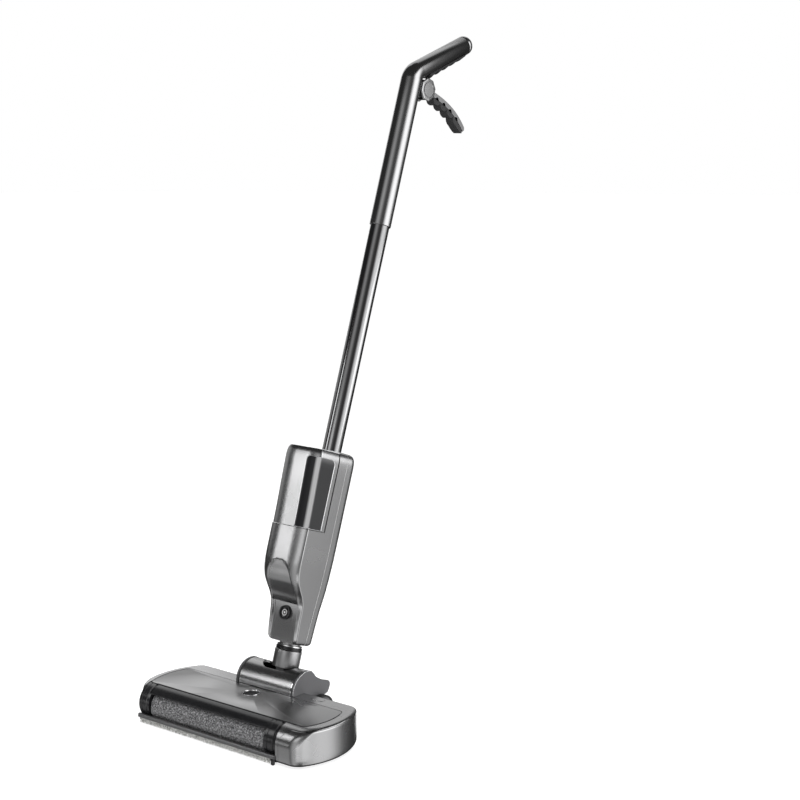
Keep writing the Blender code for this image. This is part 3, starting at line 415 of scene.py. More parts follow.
# ---- head ----
def head_outline(front, back, left_inset, right_inset, front_corner=0.024, back_corner=0.014):
    """The head from above: a straight front and back, and ends on large arcs with round corners."""
    def half(inset):
        radius = END_ARC_RADIUS - inset
        points, turns = [], []
        for line, corner, way in ((front, front_corner, 1), (back, back_corner, -1)):
            y = line + way * corner
            x = END_ARC_CENTRE + sqrt((radius - corner) ** 2 - y * y)
            turns.append((x, y, corner, degrees(atan2(y, x - END_ARC_CENTRE))))
        (x0, y0, r0, a0), (x1, y1, r1, a1) = turns
        points += arc((x0, y0), r0, -90, a0, 12)
        points += arc((END_ARC_CENTRE, 0), radius, a0, a1, 22)[1:-1]
        points += arc((x1, y1), r1, a1, 90, 9)
        return points

    right, left = half(right_inset), half(left_inset)
    return right + [(-x, y) for x, y in reversed(left)]


def rolled_front(height, inset):
    """Where the head's front lies at a height: it curves back over the roller."""
    radius = HOOD_RADIUS - inset
    above = max(0.0, height - HOOD_HEIGHT)
    return ROLLER_Y - sqrt(max(0.0, radius ** 2 - above ** 2))


def edge_inset(height):
    """How far the head's sides are drawn in at a height, at its rounded bottom and top edges."""
    low, high = HEAD_BOTTOM + BOTTOM_EDGE, HEAD_TOP - TOP_EDGE
    if height < low:
        return 0.009 * (1 - sqrt(max(0.0, 1 - ((low - height) / (low - HEAD_BOTTOM)) ** 2)))
    if height > high:
        return 0.0058 * (1 - sqrt(max(0.0, 1 - ((height - high) / (HEAD_TOP - high)) ** 2)))
    return 0.0


def head_form(name, material, inset=0.0, low=None, high=None):
    """The head's whole outside, or with an inset a plain core inside it from low to high."""
    heights = [HEAD_BOTTOM + BOTTOM_EDGE * (1 - cos(radians(a))) for a in range(0, 90, 15)]
    heights += [0.0145, 0.02, 0.026]
    heights += [HOOD_HEIGHT + HOOD_RADIUS * sin(radians(a)) for a in range(0, 60, 5)]
    heights += [HEAD_TOP - TOP_EDGE * (1 - sin(radians(a))) for a in range(8, 91, 10)]
    heights = sorted(set(round(h, 5) for h in heights))
    levels = [(z, edge_inset(z)) for z in heights]
    if inset:
        top = min(high, HOOD_HEIGHT + HOOD_RADIUS - inset)
        levels = [(z, 0.0) for z in heights if HOOD_HEIGHT <= z < top - 0.0005]
        levels = [(low, 0.0)] + levels + [(top, 0.0)] + ([(high, 0.0)] if high > top else [])
    outlines = []
    for z, edge in levels:
        side = inset + edge
        under = edge if z < HOOD_HEIGHT else 0.0
        outline = head_outline(rolled_front(z, inset) + under, HEAD_BACK - inset - edge, side, side)
        outlines.append((outline, z))
    return stacked(name, outlines, material)


def cap_region(name, side, clearance):
    """The space that an end cap takes up at one side of the head."""
    inner = {1: OPENING_RIGHT + 0.006, -1: -OPENING_LEFT + 0.0026}[side] - clearance
    top = 0.0572 + clearance
    corner = {1: 0.022, -1: 0.01}[side]
    outline = [(0.25, -0.01), (0.25, top)]
    outline += arc((inner + corner, top - corner), corner, 90, 180, 16) + [(inner, -0.01)]
    return prism(name, [(side * x, z) for x, z in outline], "y", -0.12, 0.12, None)


def cover_outline(margin):
    return head_outline(COVER_FRONT - margin, COVER_BACK + margin, 0.013 - margin, 0.0185 - margin, 0.006,
                        0.01)


def bracket_outline(margin):
    """A hinge bracket from the side: round the barrel, back over the wheel and down to its axle."""
    radius = 0.0336 + margin
    points = arc((PIVOT[1], PIVOT[2]), radius, 180, 66, 40)
    points += [(0.0925, 0.0868 + margin), (0.0965, 0.082 + margin), (0.1005, 0.0785 + margin),
               (0.108, 0.0742 + margin), (0.116, 0.0702 + margin)]
    points += arc((0.124 + margin, 0.059 + margin), 0.0084, 62, -20, 10)
    points += [(0.1292 + margin, 0.0505), (0.1262 + margin, 0.0466 - margin), (0.116, 0.044 - margin)]
    points += arc((WHEEL_Y, WHEEL_RADIUS), 0.0075 + margin, 10, -90, 12)
    return points + [(PIVOT[1], 0.011 - margin), (PIVOT[1] - radius, 0.011 - margin)]


BRACKETS = (("right", BARREL_RIGHT + 0.0012), ("left", BARREL_LEFT - 0.0012 - BRACKET))


def release_outline(margin):
    return rounded((0.089 - margin, 0.0535 - margin), (0.113 + margin, 0.0635 + margin), 0.0048 + margin)


def make_head():
    shell = head_form("shell_skin", "grey")
    cut(shell, head_form("cavity", None, inset=0.006, low=-0.01, high=HEAD_TOP - 0.0027))
    for side, word in ((1, "right"), (-1, "left")):
        void = cap_region(f"void_{word}", side, GAP)
        cut(void, head_form(f"void_core_{word}", None, inset=0.0042, low=-0.02, high=0.08))
        settle(void)
        cut(shell, void)
        cap = head_form(f"cap_skin_{word}", "grey")
        cut(cap, head_form(f"cap_core_{word}", None, inset=0.0035, low=-0.02, high=0.08))
        cut(cap, cap_region(f"cap_keep_{word}", side, 0.0), operation="INTERSECT")
        put(soften(settle(cap), 0.0005), "head", "grey_paint", f"end_cap_{word}")
    cut(shell, box("opening", (OPENING_LEFT, -0.1, -0.01), (OPENING_RIGHT, -0.0135, 0.08), None),
        prism("cover_gap", cover_outline(GAP), "z", 0.05, 0.08, None),
        drill("cradle", 0.034, BARREL_LEFT - 0.0009, BARREL_RIGHT + 0.0008, WORLD, "x",
              (0, PIVOT[1], PIVOT[2])))
    for word, low in BRACKETS:
        cut(shell, prism(f"slot_{word}", bracket_outline(GAP), "x", low - 0.0005, low + BRACKET + 0.0005,
                         None))
    cut(shell, prism("release_gap", release_outline(0.0005), "z", 0.05, 0.07, None))
    put(soften(settle(shell), 0.0005), "head", "grey_paint", "head_shell")

    put(make_cover(), "dirty_tank", "grey_paint", "top_cover")
    ring = [(0.0149, 0.0575), (0.0149, 0.0612), (0.0147, 0.0615), (0.0141, 0.0615), (0.0139, 0.0613),
            (0.0129, 0.0596), (0.0129, 0.0575)]
    put(washer("latch_ring_skin", ring, "rim", centre=(*LATCH, 0)), "dirty_tank", "chrome", "latch_ring")
    # painted shadow: a thin black bead round the cover draws its gap in shade, and a thicker black line does
    # the same along the front right
    gap_path = [(x, y, HEAD_TOP - 0.0002) for x, y in cover_outline(0.0003)]
    put(swept("cover_seal", gap_path, 0.00045, "rubber", sides=8, closed=True), "head", "black_rubber")
    edge = [p for p in gap_path if p[0] > 0.06 and p[1] < 0.03]
    edge.append((-0.155, COVER_FRONT - 0.0003, HEAD_TOP - 0.0002))
    edge = sorted(edge, key=lambda p: atan2(p[1], p[0] + 0.02))
    put(swept("cover_shadow_line", edge, 0.0009, "rubber", sides=8), "head", "black_rubber")
    well = [(0.0125, 0.052), (0.0125, 0.0588), (0.0118, 0.0596), (0.0104, 0.0598), (0.0096, 0.059),
            (0.006, 0.0578), (0.002, 0.0574)]
    put(turned("latch_skin", well, "rubber", centre=(*LATCH, 0)), "latch", "black_gloss", "latch_button")

    button = prism("release_skin", release_outline(0.0), "z", 0.054, 0.0616, "grey")
    put(soften(button, 0.0007, 3), "release", "grey_paint", "release_button")


def make_cover():
    """The cover plate with its round hole: rings of points that face each other across the plate."""
    outline = []
    points = cover_outline(0.0)
    for a, b in zip(points, points[1:] + points[:1]):
        steps = max(1, round(dist(a, b) / 0.004))
        outline += [(a[0] + (b[0] - a[0]) * k / steps, a[1] + (b[1] - a[1]) * k / steps)
                    for k in range(steps)]
    under, top = 0.0583, HEAD_TOP
    outer = ((0.0, under), (0.0, top - 0.0009), (0.0003, top - 0.0003), (0.0009, top))
    hole = ((0.0156, top), (0.0153, top - 0.0001), (0.0152, top - 0.0004), (0.0152, under))
    levels = [(inset, None, z) for inset, z in outer] + [(0.0, radius, z) for radius, z in hole]
    rings = []
    for inset, radius, z in levels:
        ring = []
        for x, y in outline:
            away = hypot(x - LATCH[0], y - LATCH[1])
            share = radius / away if radius else 1 - inset / away
            ring.append((LATCH[0] + (x - LATCH[0]) * share, LATCH[1] + (y - LATCH[1]) * share, z))
        rings.append(ring)
    return closed_loft("cover_skin", rings, "cover")


def make_front():
    centre = (ROLLER_Y, HOOD_HEIGHT)
    # over the roller from front to back and back underneath, thinner in the middle
    hood_arcs = ((0.0297, 140, 98, 16), (0.027, 97, 60, 14), (0.0297, 40, -4, 12),
                 (0.0279, -4, 40, 12), (0.0252, 60, 100, 14), (0.0279, 104, 140, 14))
    section = [point for values in hood_arcs for point in arc(centre, *values)]
    hood = prism("hood_skin", section, "x", ROLLER_LEFT - 0.0018, ROLLER_RIGHT + 0.0018, "black")
    put(soften(hood, 0.0005), "head", "black_gloss", "roller_hood")
    for word, low, high in (("left", BLOCK_LEFT, ROLLER_LEFT - 0.0022),
                            ("right", ROLLER_RIGHT + 0.0022, BLOCK_RIGHT)):
        steps = [(low, 0.0006), (low + 0.0006, 0.0), (low + 0.006, 0.0), (low + 0.0064, 0.0008),
                 (low + 0.0078, 0.0008), (low + 0.0082, 0.0), (high - 0.005, 0.0), (high - 0.0044, 0.0012),
                 (high, 0.0016)]
        rings = []
        for x, inset in steps:
            outline = [(-0.017, 0.01), (-0.017, 0.057), (-0.0461, 0.0573 - inset)]
            outline += arc(centre, 0.0295 - inset, 96, 205, 32) + [(-0.0655, 0.01)]
            rings.append([(x, y, z) for y, z in outline])
        put(loft(f"bearing_skin_{word}", rings, "black"), "head", "black_gloss", f"roller_bearing_{word}")
    left, right = BLOCK_LEFT + 0.001, OPENING_RIGHT - 0.0004
    lip = [(-0.0752, 0.0097), (-0.0706, 0.0093), (-0.0703, 0.0096), (-0.0703, 0.0147), (-0.0707, 0.0156),
           (-0.0716, 0.0162), (-0.0734, 0.0162), (-0.0748, 0.0155), (-0.0757, 0.0142), (-0.0758, 0.012),
           (-0.0757, 0.0104)]
    put(prism("lip_skin", lip, "x", left, right, "lip"), "head", "grey_paint", "front_lip")
    make_bristles(left + 0.004, right - 0.01)
    make_pile()


TUFTS, FIBRES = 210, 9000                # tufts in a row of bristles, stray fibres on the roller


def make_bristles(left, right):
    """Rows of tufts that hang from the lip."""
    vertices, faces = [], []

    def tuft(x, y, top, tip, width, lean_x, lean_y):
        base = len(vertices)
        for cx, cy, z, size in ((x, y, top, width), (x + lean_x, y + lean_y, tip, 0.55 * width)):
            for k in range(4):
                angle = pi / 2 * k + 0.5
                vertices.append((cx + size * cos(angle), cy + size * sin(angle), z))
        faces.extend([tuple(base + k for k in range(4)), tuple(base + 4 + k for k in range(4))])
        faces.extend(bridge(base, base + 4, 4))

    for row, y in enumerate((-0.0744, -0.0732, -0.072)):
        for i in range(TUFTS):
            x = left + (right - left) * (i + 0.5 * (row % 2) + 0.25) / TUFTS
            tuft(x + uniform(-0.0002, 0.0002), y, 0.0092, uniform(0.0005, 0.0022), uniform(0.00035, 0.0006),
                 uniform(-0.0007, 0.0007), uniform(-0.0006, 0.0004))
    put(make("bristle_skin", vertices, faces, "bristle"), "head", "pale_bristle", "bristle_strip")


def make_pile():
    """The roller's sleeve: a short uneven pile with stray fibres."""
    long, around = 250, 96
    rings = []
    for i in range(long + 1):
        x = ROLLER_LEFT + (ROLLER_RIGHT - ROLLER_LEFT) * i / long
        end = min(i, long - i)
        ring = []
        for k in range(around):
            angle = 2 * pi * k / around
            direction = Vector((0, cos(angle), sin(angle)))
            point = Vector((x, 0, 0)) + direction * ROLLER_RADIUS
            tuft = noise.noise(point * 330) * 0.5 + noise.noise(point * 800) * 0.5
            radius = ROLLER_RADIUS - 0.0007 + 0.0009 * tuft - 0.0016 * max(0, 2 - end) / 2
            radius = min(radius, ROLLER_RADIUS)
            ring.append((x, ROLLER_Y + direction.y * radius, ROLLER_Z + direction.z * radius))
        rings.append(ring)
    put(loft("pile_skin", rings, "pile", sharp=180), "roller", "grey_pile", "roller_sleeve")
    vertices, faces = [], []
    for _ in range(FIBRES):
        x, angle = uniform(ROLLER_LEFT + 0.001, ROLLER_RIGHT - 0.001), uniform(0, 2 * pi)
        out = Vector((0, cos(angle), sin(angle)))
        round_way = Vector((0, -out.z, out.y))
        foot = Vector((x, ROLLER_Y, ROLLER_Z)) + out * 0.0258
        lean = round_way * uniform(-0.0006, 0.001) + Vector((uniform(-0.0007, 0.0007), 0, 0))
        width = Vector((uniform(-1, 1), 0, 0)) + round_way * uniform(-1, 1)
        width = width.normalized() * uniform(0.0001, 0.00022)
        tip = foot + out * uniform(0.0007, 0.0012) + lean
        side = width.cross(out).normalized() * 0.00012
        base = len(vertices)
        vertices.extend([foot - width, foot + width, foot + side * 1.4, tip])
        faces.extend([(base, base + 1, base + 3), (base + 1, base + 2, base + 3), (base + 2, base, base + 3),
                      (base, base + 2, base + 1)])
    put(make("pile_fibres", vertices, faces, "pile"), "roller", "grey_pile")


# ---- carriage, barrel and neck ----
def make_carriage():
    for word, low in BRACKETS:
        plate = prism(f"bracket_skin_{word}", bracket_outline(0.0), "x", low, low + BRACKET, "dark")
        put(soften(plate, 0.0006, 3), "head", "dark_grey_plastic", f"hinge_bracket_{word}")
        side = 1 if word == "right" else -1
        face = low + BRACKET if side > 0 else low
        trim = [(face, *p) for p in arc((PIVOT[1], PIVOT[2]), 0.033, 176, 70, 40)]
        put(swept(f"bracket_trim_{word}", trim, 0.00045, "chrome"), "head", "chrome")
    right = BARREL_RIGHT + 0.0012 + BRACKET
    left = BARREL_LEFT - 0.0012 - BRACKET
    for word, inner, way in (("right", right + 0.0008, 1), ("left", left - 0.0008, -1)):
        centre = (inner, WHEEL_Y, WHEEL_RADIUS)
        outer = WHEEL_WIDTH - 0.0008
        wheel = [(0.003, 0.0008), (0.0212, 0.0008), (0.0215, 0.0012), (0.0215, outer - 0.0006),
                 (0.0209, outer), (0.0185, outer), (0.0178, outer - 0.002), (0.01, outer - 0.0026),
                 (0.0085, outer - 0.0004), (0.0078, outer), (0.0036, outer), (0.003, outer - 0.0006)]
        wheel = [(radius, way * along) for radius, along in wheel]
        put(washer(f"wheel_skin_{word}", wheel, "dark", axis="x", centre=centre), f"wheel_{word}",
            "dark_grey_plastic", f"rear_wheel_{word}")
        low, high = sorted((0.0, way * WHEEL_WIDTH))
        tread = [(0.0218, low), (0.0238, low), (0.0245, low + 0.0008)]
        for k in range(4):
            x = low + 0.0018 + 0.0019 * k
            tread += [(0.0245, x), (0.024, x + 0.0002), (0.024, x + 0.0006), (0.0245, x + 0.0008)]
        tread += [(0.0245, high - 0.0008), (0.0238, high), (0.0218, high)]
        put(washer(f"tyre_skin_{word}", tread, "rubber", axis="x", centre=centre, sides=96), f"wheel_{word}",
            "black_rubber", f"rear_tyre_{word}")


def make_barrel():
    left, right = BARREL_LEFT - PIVOT[0], BARREL_RIGHT - PIVOT[0]
    barrel = pipe("barrel_skin", BARREL_RADIUS, BARREL_BORE, left, right, "grey", PITCH, axis="x",
                  edge=0.0006, sides=128)
    half = 0.0229
    slot = arc((SLOT_RIGHT - half, 0), half, -90, 90, 24) + arc((SLOT_LEFT + half, 0), half, 90, 270, 24)
    cut(barrel, prism("neck_slot", slot, "z", 0.0, 0.05, None, PITCH))
    put(soften(settle(barrel), 0.0007, 3), "barrel", "grey_paint", "pivot_barrel")
    for word, end, way in (("right", right, 1), ("left", left, -1)):
        steps = [(0.0291, end - way * 0.004), (0.0291, end - way * 0.0006), (0.0286, end + way * 0.0001),
                 (0.0061, end + way * 0.0003), (0.0061, end + way * 0.005)]
        put(turned(f"barrel_end_skin_{word}", steps, "plastic", PITCH, axis="x"), "barrel", "black_plastic",
            f"barrel_end_{word}")
        lip = end - way * 0.0005
        thick = way * 0.0004
        ring = [(0.0332, lip - thick), (0.0332, lip + thick), (0.0318, lip + thick), (0.0318, lip - thick)]
        trim = washer(f"barrel_trim_{word}", ring, "chrome" if way > 0 else "plastic", PITCH, axis="x")
        put(trim, "barrel", "chrome")


def make_neck():
    steps = [(NECK_RADIUS - 0.001, 0.0285), (NECK_RADIUS - 0.0003, 0.0288), (NECK_RADIUS, 0.0295),
             (NECK_RADIUS, 0.0562)]
    steps += [(NECK_RADIUS - 0.0014 * (1 - cos(a)), 0.0564 + 0.0014 * sin(a)) for a in (0.4, 0.8, 1.2, 1.57)]
    steps += [(0.0172, 0.0579), (0.0172, 0.078)]
    put(turned("neck_skin", steps, "neck", STICK, sides=96), "stick", "grey_paint", "neck")
    outline = arc((0, 0), 0.0085, 180, 360, 24) + [(0.0085, 0.03), (-0.0085, 0.03)]
    tongue = prism("tongue_skin", outline, "y", -0.0125, 0.0125, "dark", STICK)
    cut(tongue, drill("pin_hole", 0.0043, -0.03, 0.03, axis="y"))
    put(soften(settle(tongue), 0.0005), "stick", "grey_paint")
    collar = [(0.0216, 0.0583), (0.0216, 0.06), (0.0212, 0.0603), (0.0212, 0.0607), (0.0216, 0.061),
              (0.0216, 0.0626), (0.0212, 0.063), (0.0176, 0.063), (0.0176, 0.0583)]
    put(washer("collar_skin", collar, "black", STICK), "stick", "black_gloss", "neck_collar")
    put(pipe("neck_ring_skin", 0.0206, 0.0176, 0.0634, 0.0662, "chrome", STICK, edge=0.0005), "stick",
        "chrome", "neck_ring")


# ---- body ----
# each level: height, half width, front, back, front corner width and depth, back corner radius
BODY_LEVELS = (
    (0.07, 0.0278, -0.0245, 0.0165, 0.01, 0.01, 0.01),
    (0.072, 0.0304, -0.0272, 0.0192, 0.011, 0.011, 0.011),
    (0.0755, 0.032, -0.029, 0.0203, 0.012, 0.011, 0.011),
    (0.105, 0.0335, -0.0334, 0.0207, 0.013, 0.011, 0.011),
    (0.13, 0.0351, -0.0362, 0.0213, 0.014, 0.011, 0.0115),
    (0.144, 0.0363, -0.0427, 0.0226, 0.0155, 0.011, 0.012),
    (0.157, 0.0372, -0.053, 0.0237, 0.018, 0.011, 0.0125),
    (0.17, 0.0379, -0.0622, 0.0245, 0.021, 0.011, 0.013),
    (0.185, 0.0386, -0.0671, 0.0251, 0.024, 0.011, 0.0135),
    (0.2, 0.0391, -0.0687, 0.0254, 0.027, 0.0108, 0.014),
    (0.215, 0.0394, -0.0689, 0.0255, 0.0285, 0.0105, 0.014),
    (STEP_HEIGHT, 0.0395, -0.069, 0.0255, 0.029, 0.0105, 0.014),
    (0.36, 0.0395, -0.0732, 0.0255, 0.029, 0.0105, 0.014),
    (0.37, 0.0393, -0.0735, 0.0253, 0.0288, 0.0104, 0.0138),
    (0.379, 0.0383, -0.0729, 0.0243, 0.028, 0.01, 0.013),
    (0.385, 0.0356, -0.0705, 0.0217, 0.026, 0.009, 0.012),
    (0.388, 0.0312, -0.066, 0.0172, 0.022, 0.008, 0.01),
)
SCOOP = (                        # height, half width, floor
    (0.06, 0.0262, -0.0215), (0.1335, 0.0272, -0.03), (0.1345, 0.0273, -0.0322), (0.14, 0.0274, -0.0376),
    (0.148, 0.0275, -0.0427), (0.158, 0.0272, -0.0506), (0.17, 0.0256, -0.0594), (0.183, 0.022, -0.064),
    (0.191, 0.017, -0.066), (0.196, 0.011, -0.0674), (0.1985, 0.005, -0.0682), (0.1995, 0.0, -0.0686),
)


def between(table, height):
    """A row of numbers at a height, on a smooth curve through the table's rows."""
    if height <= table[0][0]:
        return table[0][1:]
    if height >= table[-1][0]:
        return table[-1][1:]
    row = next(i for i in range(len(table) - 1) if table[i + 1][0] >= height)
    first, second = table[row], table[row + 1]
    span = second[0] - first[0]
    t = (height - first[0]) / span
    before = table[row - 1] if row else first
    after = table[row + 2] if row + 2 < len(table) else second
    values = []
    for k in range(1, len(first)):
        rise = (second[k] - first[k]) / span
        slopes = []
        for a, b in ((before, first), (second, after)):
            near = (b[k] - a[k]) / (b[0] - a[0]) if b[0] > a[0] else rise
            slopes.append(0.0 if near * rise <= 0 else 2 * near * rise / (near + rise))
        m0, m1 = slopes[0] * span, slopes[1] * span
        values.append((2 * t ** 3 - 3 * t * t + 1) * first[k] + (t ** 3 - 2 * t * t + t) * m0
                      + (3 * t * t - 2 * t ** 3) * second[k] + (t ** 3 - t * t) * m1)
    return values


def oval(centre, across, deep, start, end, steps):
    turns = [radians(start + (end - start) * i / steps) for i in range(steps + 1)]
    return [(centre[0] + across * cos(turn), centre[1] + deep * sin(turn)) for turn in turns]


def front_part(height, line, inset=0.0):
    """A level of the body forward of a line, from its right end round the front to its left end."""
    half, front, _, across, deep, _ = between(BODY_LEVELS, height)
    half, front, across, deep = half - inset, front + inset, across - inset, deep - inset
    small, end = 0.003, radians(28)
    middle = half - across
    long = (across - small * 0.42) / cos(end)
    tall = deep * 1.19
    turn = atan(tall / long / tan(end))
    tip = (middle + long * cos(end), front + tall * (1 - sin(end)))
    centre = (half - small, tip[1] + small * cos(turn))
    right = [(half, line + (centre[1] - line) * k / 10) for k in range(10)]
    right += arc(centre, small, 0, degrees(turn) - 90, 7)[:-1]
    right += oval((middle, front + tall), long, tall, -degrees(end), -90, 34)
    right += [(middle * (1 - k / 10), front) for k in range(1, 11)]
    return right + [(-x, y) for x, y in reversed(right[:-1])]


def rear_part(height, line):
    """A level of the body behind a line, from its right end round the back to its left end."""
    half, _, back, _, _, radius = between(BODY_LEVELS, height)
    right = [(half, line + (back - radius - line) * k / 4) for k in range(4)]
    right += arc((half - radius, back - radius), radius, 0, 90, 14)
    right += [((half - radius) * 0.5, back), (0.0, back)]
    return right + [(-x, y) for x, y in reversed(right[:-1])]


def scooped(x, y, height):
    """Where a point of the body's front lies once the scoop has been pressed into it."""
    half, floor = between(SCOOP, height)
    if height > SCOOP[-1][0] or y > 0 or floor < y:
        return y
    rim = 0.0034
    return y + (floor - y) * smooth_step((half + rim * 0.5 - abs(x)) / rim)


def ranged(low, high, count, extra):
    return sorted(set([round(low + (high - low) * i / count, 5) for i in range(count + 1)] + list(extra)))


def lower_cavity(name):
    """Hollow of the body below the tank's shelf."""
    # height, half width, front, back, corner radius
    levels = ((0.0735, 0.0268, -0.018, 0.0172, 0.008), (0.13, 0.0312, -0.025, 0.0188, 0.008),
              (0.148, 0.0325, -0.037, 0.0203, 0.008), (0.17, 0.034, -0.054, 0.0218, 0.01),
              (0.2, 0.035, -0.064, 0.0228, 0.011), (0.252, 0.0355, -0.0645, 0.0229, 0.011))
    return stacked(name, [(rounded((-h, f), (h, b), r, 4), z) for z, h, f, b, r in levels], None, STICK)


def upper_cavity(name):
    """Hollow of the body above the tank's shelf, narrower at the top."""
    wide = rounded((-0.0367, -0.0175), (0.0367, 0.0229), 0.0115, 4)
    small = rounded((-0.0318, -0.0175), (0.0318, 0.0178), 0.0095, 4)
    return stacked(name, ((wide, 0.2505), (wide, 0.372), (small, 0.385)), None, STICK)


SPLIT_GAP = 0.00035                      # half the gap between the body's front and rear shells


def body_half(name, front, material):
    heights = ranged(0.07, 0.388, 120, (0.0705, 0.0712, 0.0722, 0.0735, 0.1335, 0.1345, 0.3815, 0.3835,
                                        0.3845, 0.3855, 0.3864, 0.3872, 0.3877))
    outlines = []
    for z in heights:
        if front:
            points = [(x, scooped(x, y, z)) for x, y in front_part(z, BODY_SPLIT - SPLIT_GAP)]
        else:
            points = rear_part(z, BODY_SPLIT + SPLIT_GAP)
        outlines.append((points, z))
    return stacked(name, outlines, material, STICK)


STEM_HOLE, POLE_HOLE, BEZEL_HOLE, VALVE_HOLE, MOUTH_HOLE = 0.0177, 0.0167, 0.0119, 0.0066, 0.0045
VALVE_Y, POCKET_BACK = -0.052, -0.0202


def make_body():
    for word in ("front", "rear"):
        shell = body_half(f"{word}_shell_skin", word == "front", "grey")
        cut(shell, drill(f"{word}_stem", STEM_HOLE, 0.05, 0.09, sides=48),
            lower_cavity(f"{word}_lower_cavity"), upper_cavity(f"{word}_upper_cavity"),
            drill(f"{word}_pole", POLE_HOLE, 0.37, 0.4, sides=64))
        if word == "front":
            pocket = (-0.1, -0.1, STEP_HEIGHT - 0.0003), (0.1, POCKET_BACK, 0.5)
            cut(shell, box("pocket", *pocket, None, STICK),
                drill("bezel_hole", BEZEL_HOLE, -0.06, -0.01, axis="y", centre=(0, 0, BUTTON_HEIGHT),
                      sides=48),
                drill("valve_hole", VALVE_HOLE, 0.24, 0.27, centre=(0, VALVE_Y, 0), sides=40))
        put(soften(settle(shell), 0.0005), "stick", "grey_paint", f"{word}_shell")
    heights = ranged(0.0735, 0.3865, 60, (0.0712, 0.0722, 0.3874))
    for side, word in ((1, "right"), (-1, "left")):
        line = [(side * (between(BODY_LEVELS, z)[0] - 0.00032), BODY_SPLIT, z) for z in heights]
        put(swept(f"seam_{word}", line, 0.00042, "seam", STICK, sides=8), "stick", "grey_paint")


def make_button():
    centre = (0, 0, BUTTON_HEIGHT)
    bezel = [(0.0116, -0.0245), (0.0116, -0.0306), (0.0112, -0.0312), (0.0098, -0.0312), (0.0092, -0.03),
             (0.0092, -0.0245)]
    put(washer("bezel_skin", bezel, "black", STICK, axis="y", centre=centre), "stick", "black_gloss",
        "power_bezel")
    cap = [(0.003, -0.0296), (0.0066, -0.0298), (0.008, -0.0302), (0.0087, -0.0299), (0.0089, -0.0293),
           (0.0089, -0.023)]
    put(turned("power_skin", cap, "black", STICK, axis="y", centre=centre), "power", "dark_grey_plastic",
        "power_button")
    ring = [(0.005, -0.03), (0.005, -0.0303), (0.0042, -0.0303), (0.0042, -0.0297)]
    put(washer("power_ring", ring, "glow", STICK, axis="y", centre=centre, sides=48), "power",
        "dark_grey_plastic")
    dot = [(0.0014, -0.0303), (0.0016, -0.03), (0.0016, -0.0295)]
    put(turned("power_dot", dot, "glow", STICK, axis="y", centre=centre, sides=32), "power",
        "dark_grey_plastic")


def make_tank():
    heights = ranged(STEP_HEIGHT + 0.0003, TANK_TOP, 60, (STEP_HEIGHT + 0.0006, 0.3835, 0.3842, 0.3847))
    outlines = []
    for z in heights:
        low_edge = 0.0005 if z < STEP_HEIGHT + 0.0005 else 0.0
        outlines.append((front_part(z, TANK_BACK, TANK_INSET + low_edge), z))
    tank = stacked("tank_skin", outlines, "grey", STICK)
    hollow = rounded((-0.034, -0.0635), (0.034, TANK_BACK - 0.003), 0.007, 4)
    cut(tank, prism("hollow", hollow, "z", STEP_HEIGHT + 0.0035, 0.374, None, STICK),
        drill("mouth", MOUTH_HOLE, 0.25, 0.27, centre=(0, VALVE_Y, 0), sides=40),
        window_patch("window_seat", 0.002, 0.0019, 0.0003, None))
    put(soften(settle(tank), 0.0007, 3), "clean_tank", "grey_paint", "water_tank")
    put(window_patch("window_skin", 0.0, 0.0015, -0.0004, "window"), "clean_tank", "smoked_window",
        "tank_window")
    edge = window_edge(0.0001, 0.0001)
    put(swept("window_rim", edge, 0.00055, "rim", STICK, sides=8, closed=True), "clean_tank", "grey_paint")


WINDOW_LOW, WINDOW_HIGH = STEP_HEIGHT + 0.0016, 0.372
WINDOW_CORNER = 0.0085
WINDOW_FRONT, WINDOW_SIDE = 0.0131, 0.0087   # from the tank's front middle, and from its right side's back


def window_lane(height):
    """The tank's surface line at a height, from its front middle to its right side, with arc lengths."""
    points = [p for p in front_part(height, TANK_BACK, TANK_INSET) if p[0] >= 0][::-1]
    lengths = [0.0]
    for a, b in zip(points, points[1:]):
        lengths.append(lengths[-1] + dist(a, b))
    return points, lengths


def lane_point(lane, goal):
    """The point at a length along a lane, and the way out of the tank there."""
    points, lengths = lane
    j = 0
    while j < len(lengths) - 2 and lengths[j + 1] < goal:
        j += 1
    span = lengths[j + 1] - lengths[j]
    t = (goal - lengths[j]) / span
    (x0, y0), (x1, y1) = points[j], points[j + 1]
    across = Vector((x1 - x0, y1 - y0)).normalized()
    return (x0 + (x1 - x0) * t, y0 + (y1 - y0) * t), (across.y, -across.x)


def window_limits(lane, height, margin):
    """Where the window starts and ends round the tank at a height, with its upper corners round."""
    corner = WINDOW_CORNER + margin
    above = max(0.0, height - (WINDOW_HIGH + margin - corner))
    trim = corner - sqrt(max(0.0, corner ** 2 - above ** 2))
    return WINDOW_FRONT - margin + trim, lane[1][-1] - WINDOW_SIDE + margin - trim


def window_levels(low, high, short):
    """Heights up the window, close together in its round corners, ending a little short of its top."""
    bend = [high - WINDOW_CORNER * (1 - sin(radians(a))) for a in range(0, 90, 9)] + [high - short]
    return [low + (high - WINDOW_CORNER - low) * k / 16 for k in range(16)] + bend


def window_patch(name, proud, depth, margin, material):
    rings, count = [], 36
    for z in window_levels(WINDOW_LOW - margin, WINDOW_HIGH + margin, 0.00002):
        lane = window_lane(z)
        start, end = window_limits(lane, z, margin)
        outer, inner = [], []
        for k in range(count + 1):
            (x, y), (nx, ny) = lane_point(lane, start + (end - start) * k / count)
            outer.append((x + nx * proud, y + ny * proud, z))
            inner.append((x - nx * depth, y - ny * depth, z))
        rings.append(outer + inner[::-1])
    return loft(name, rings, material, STICK)


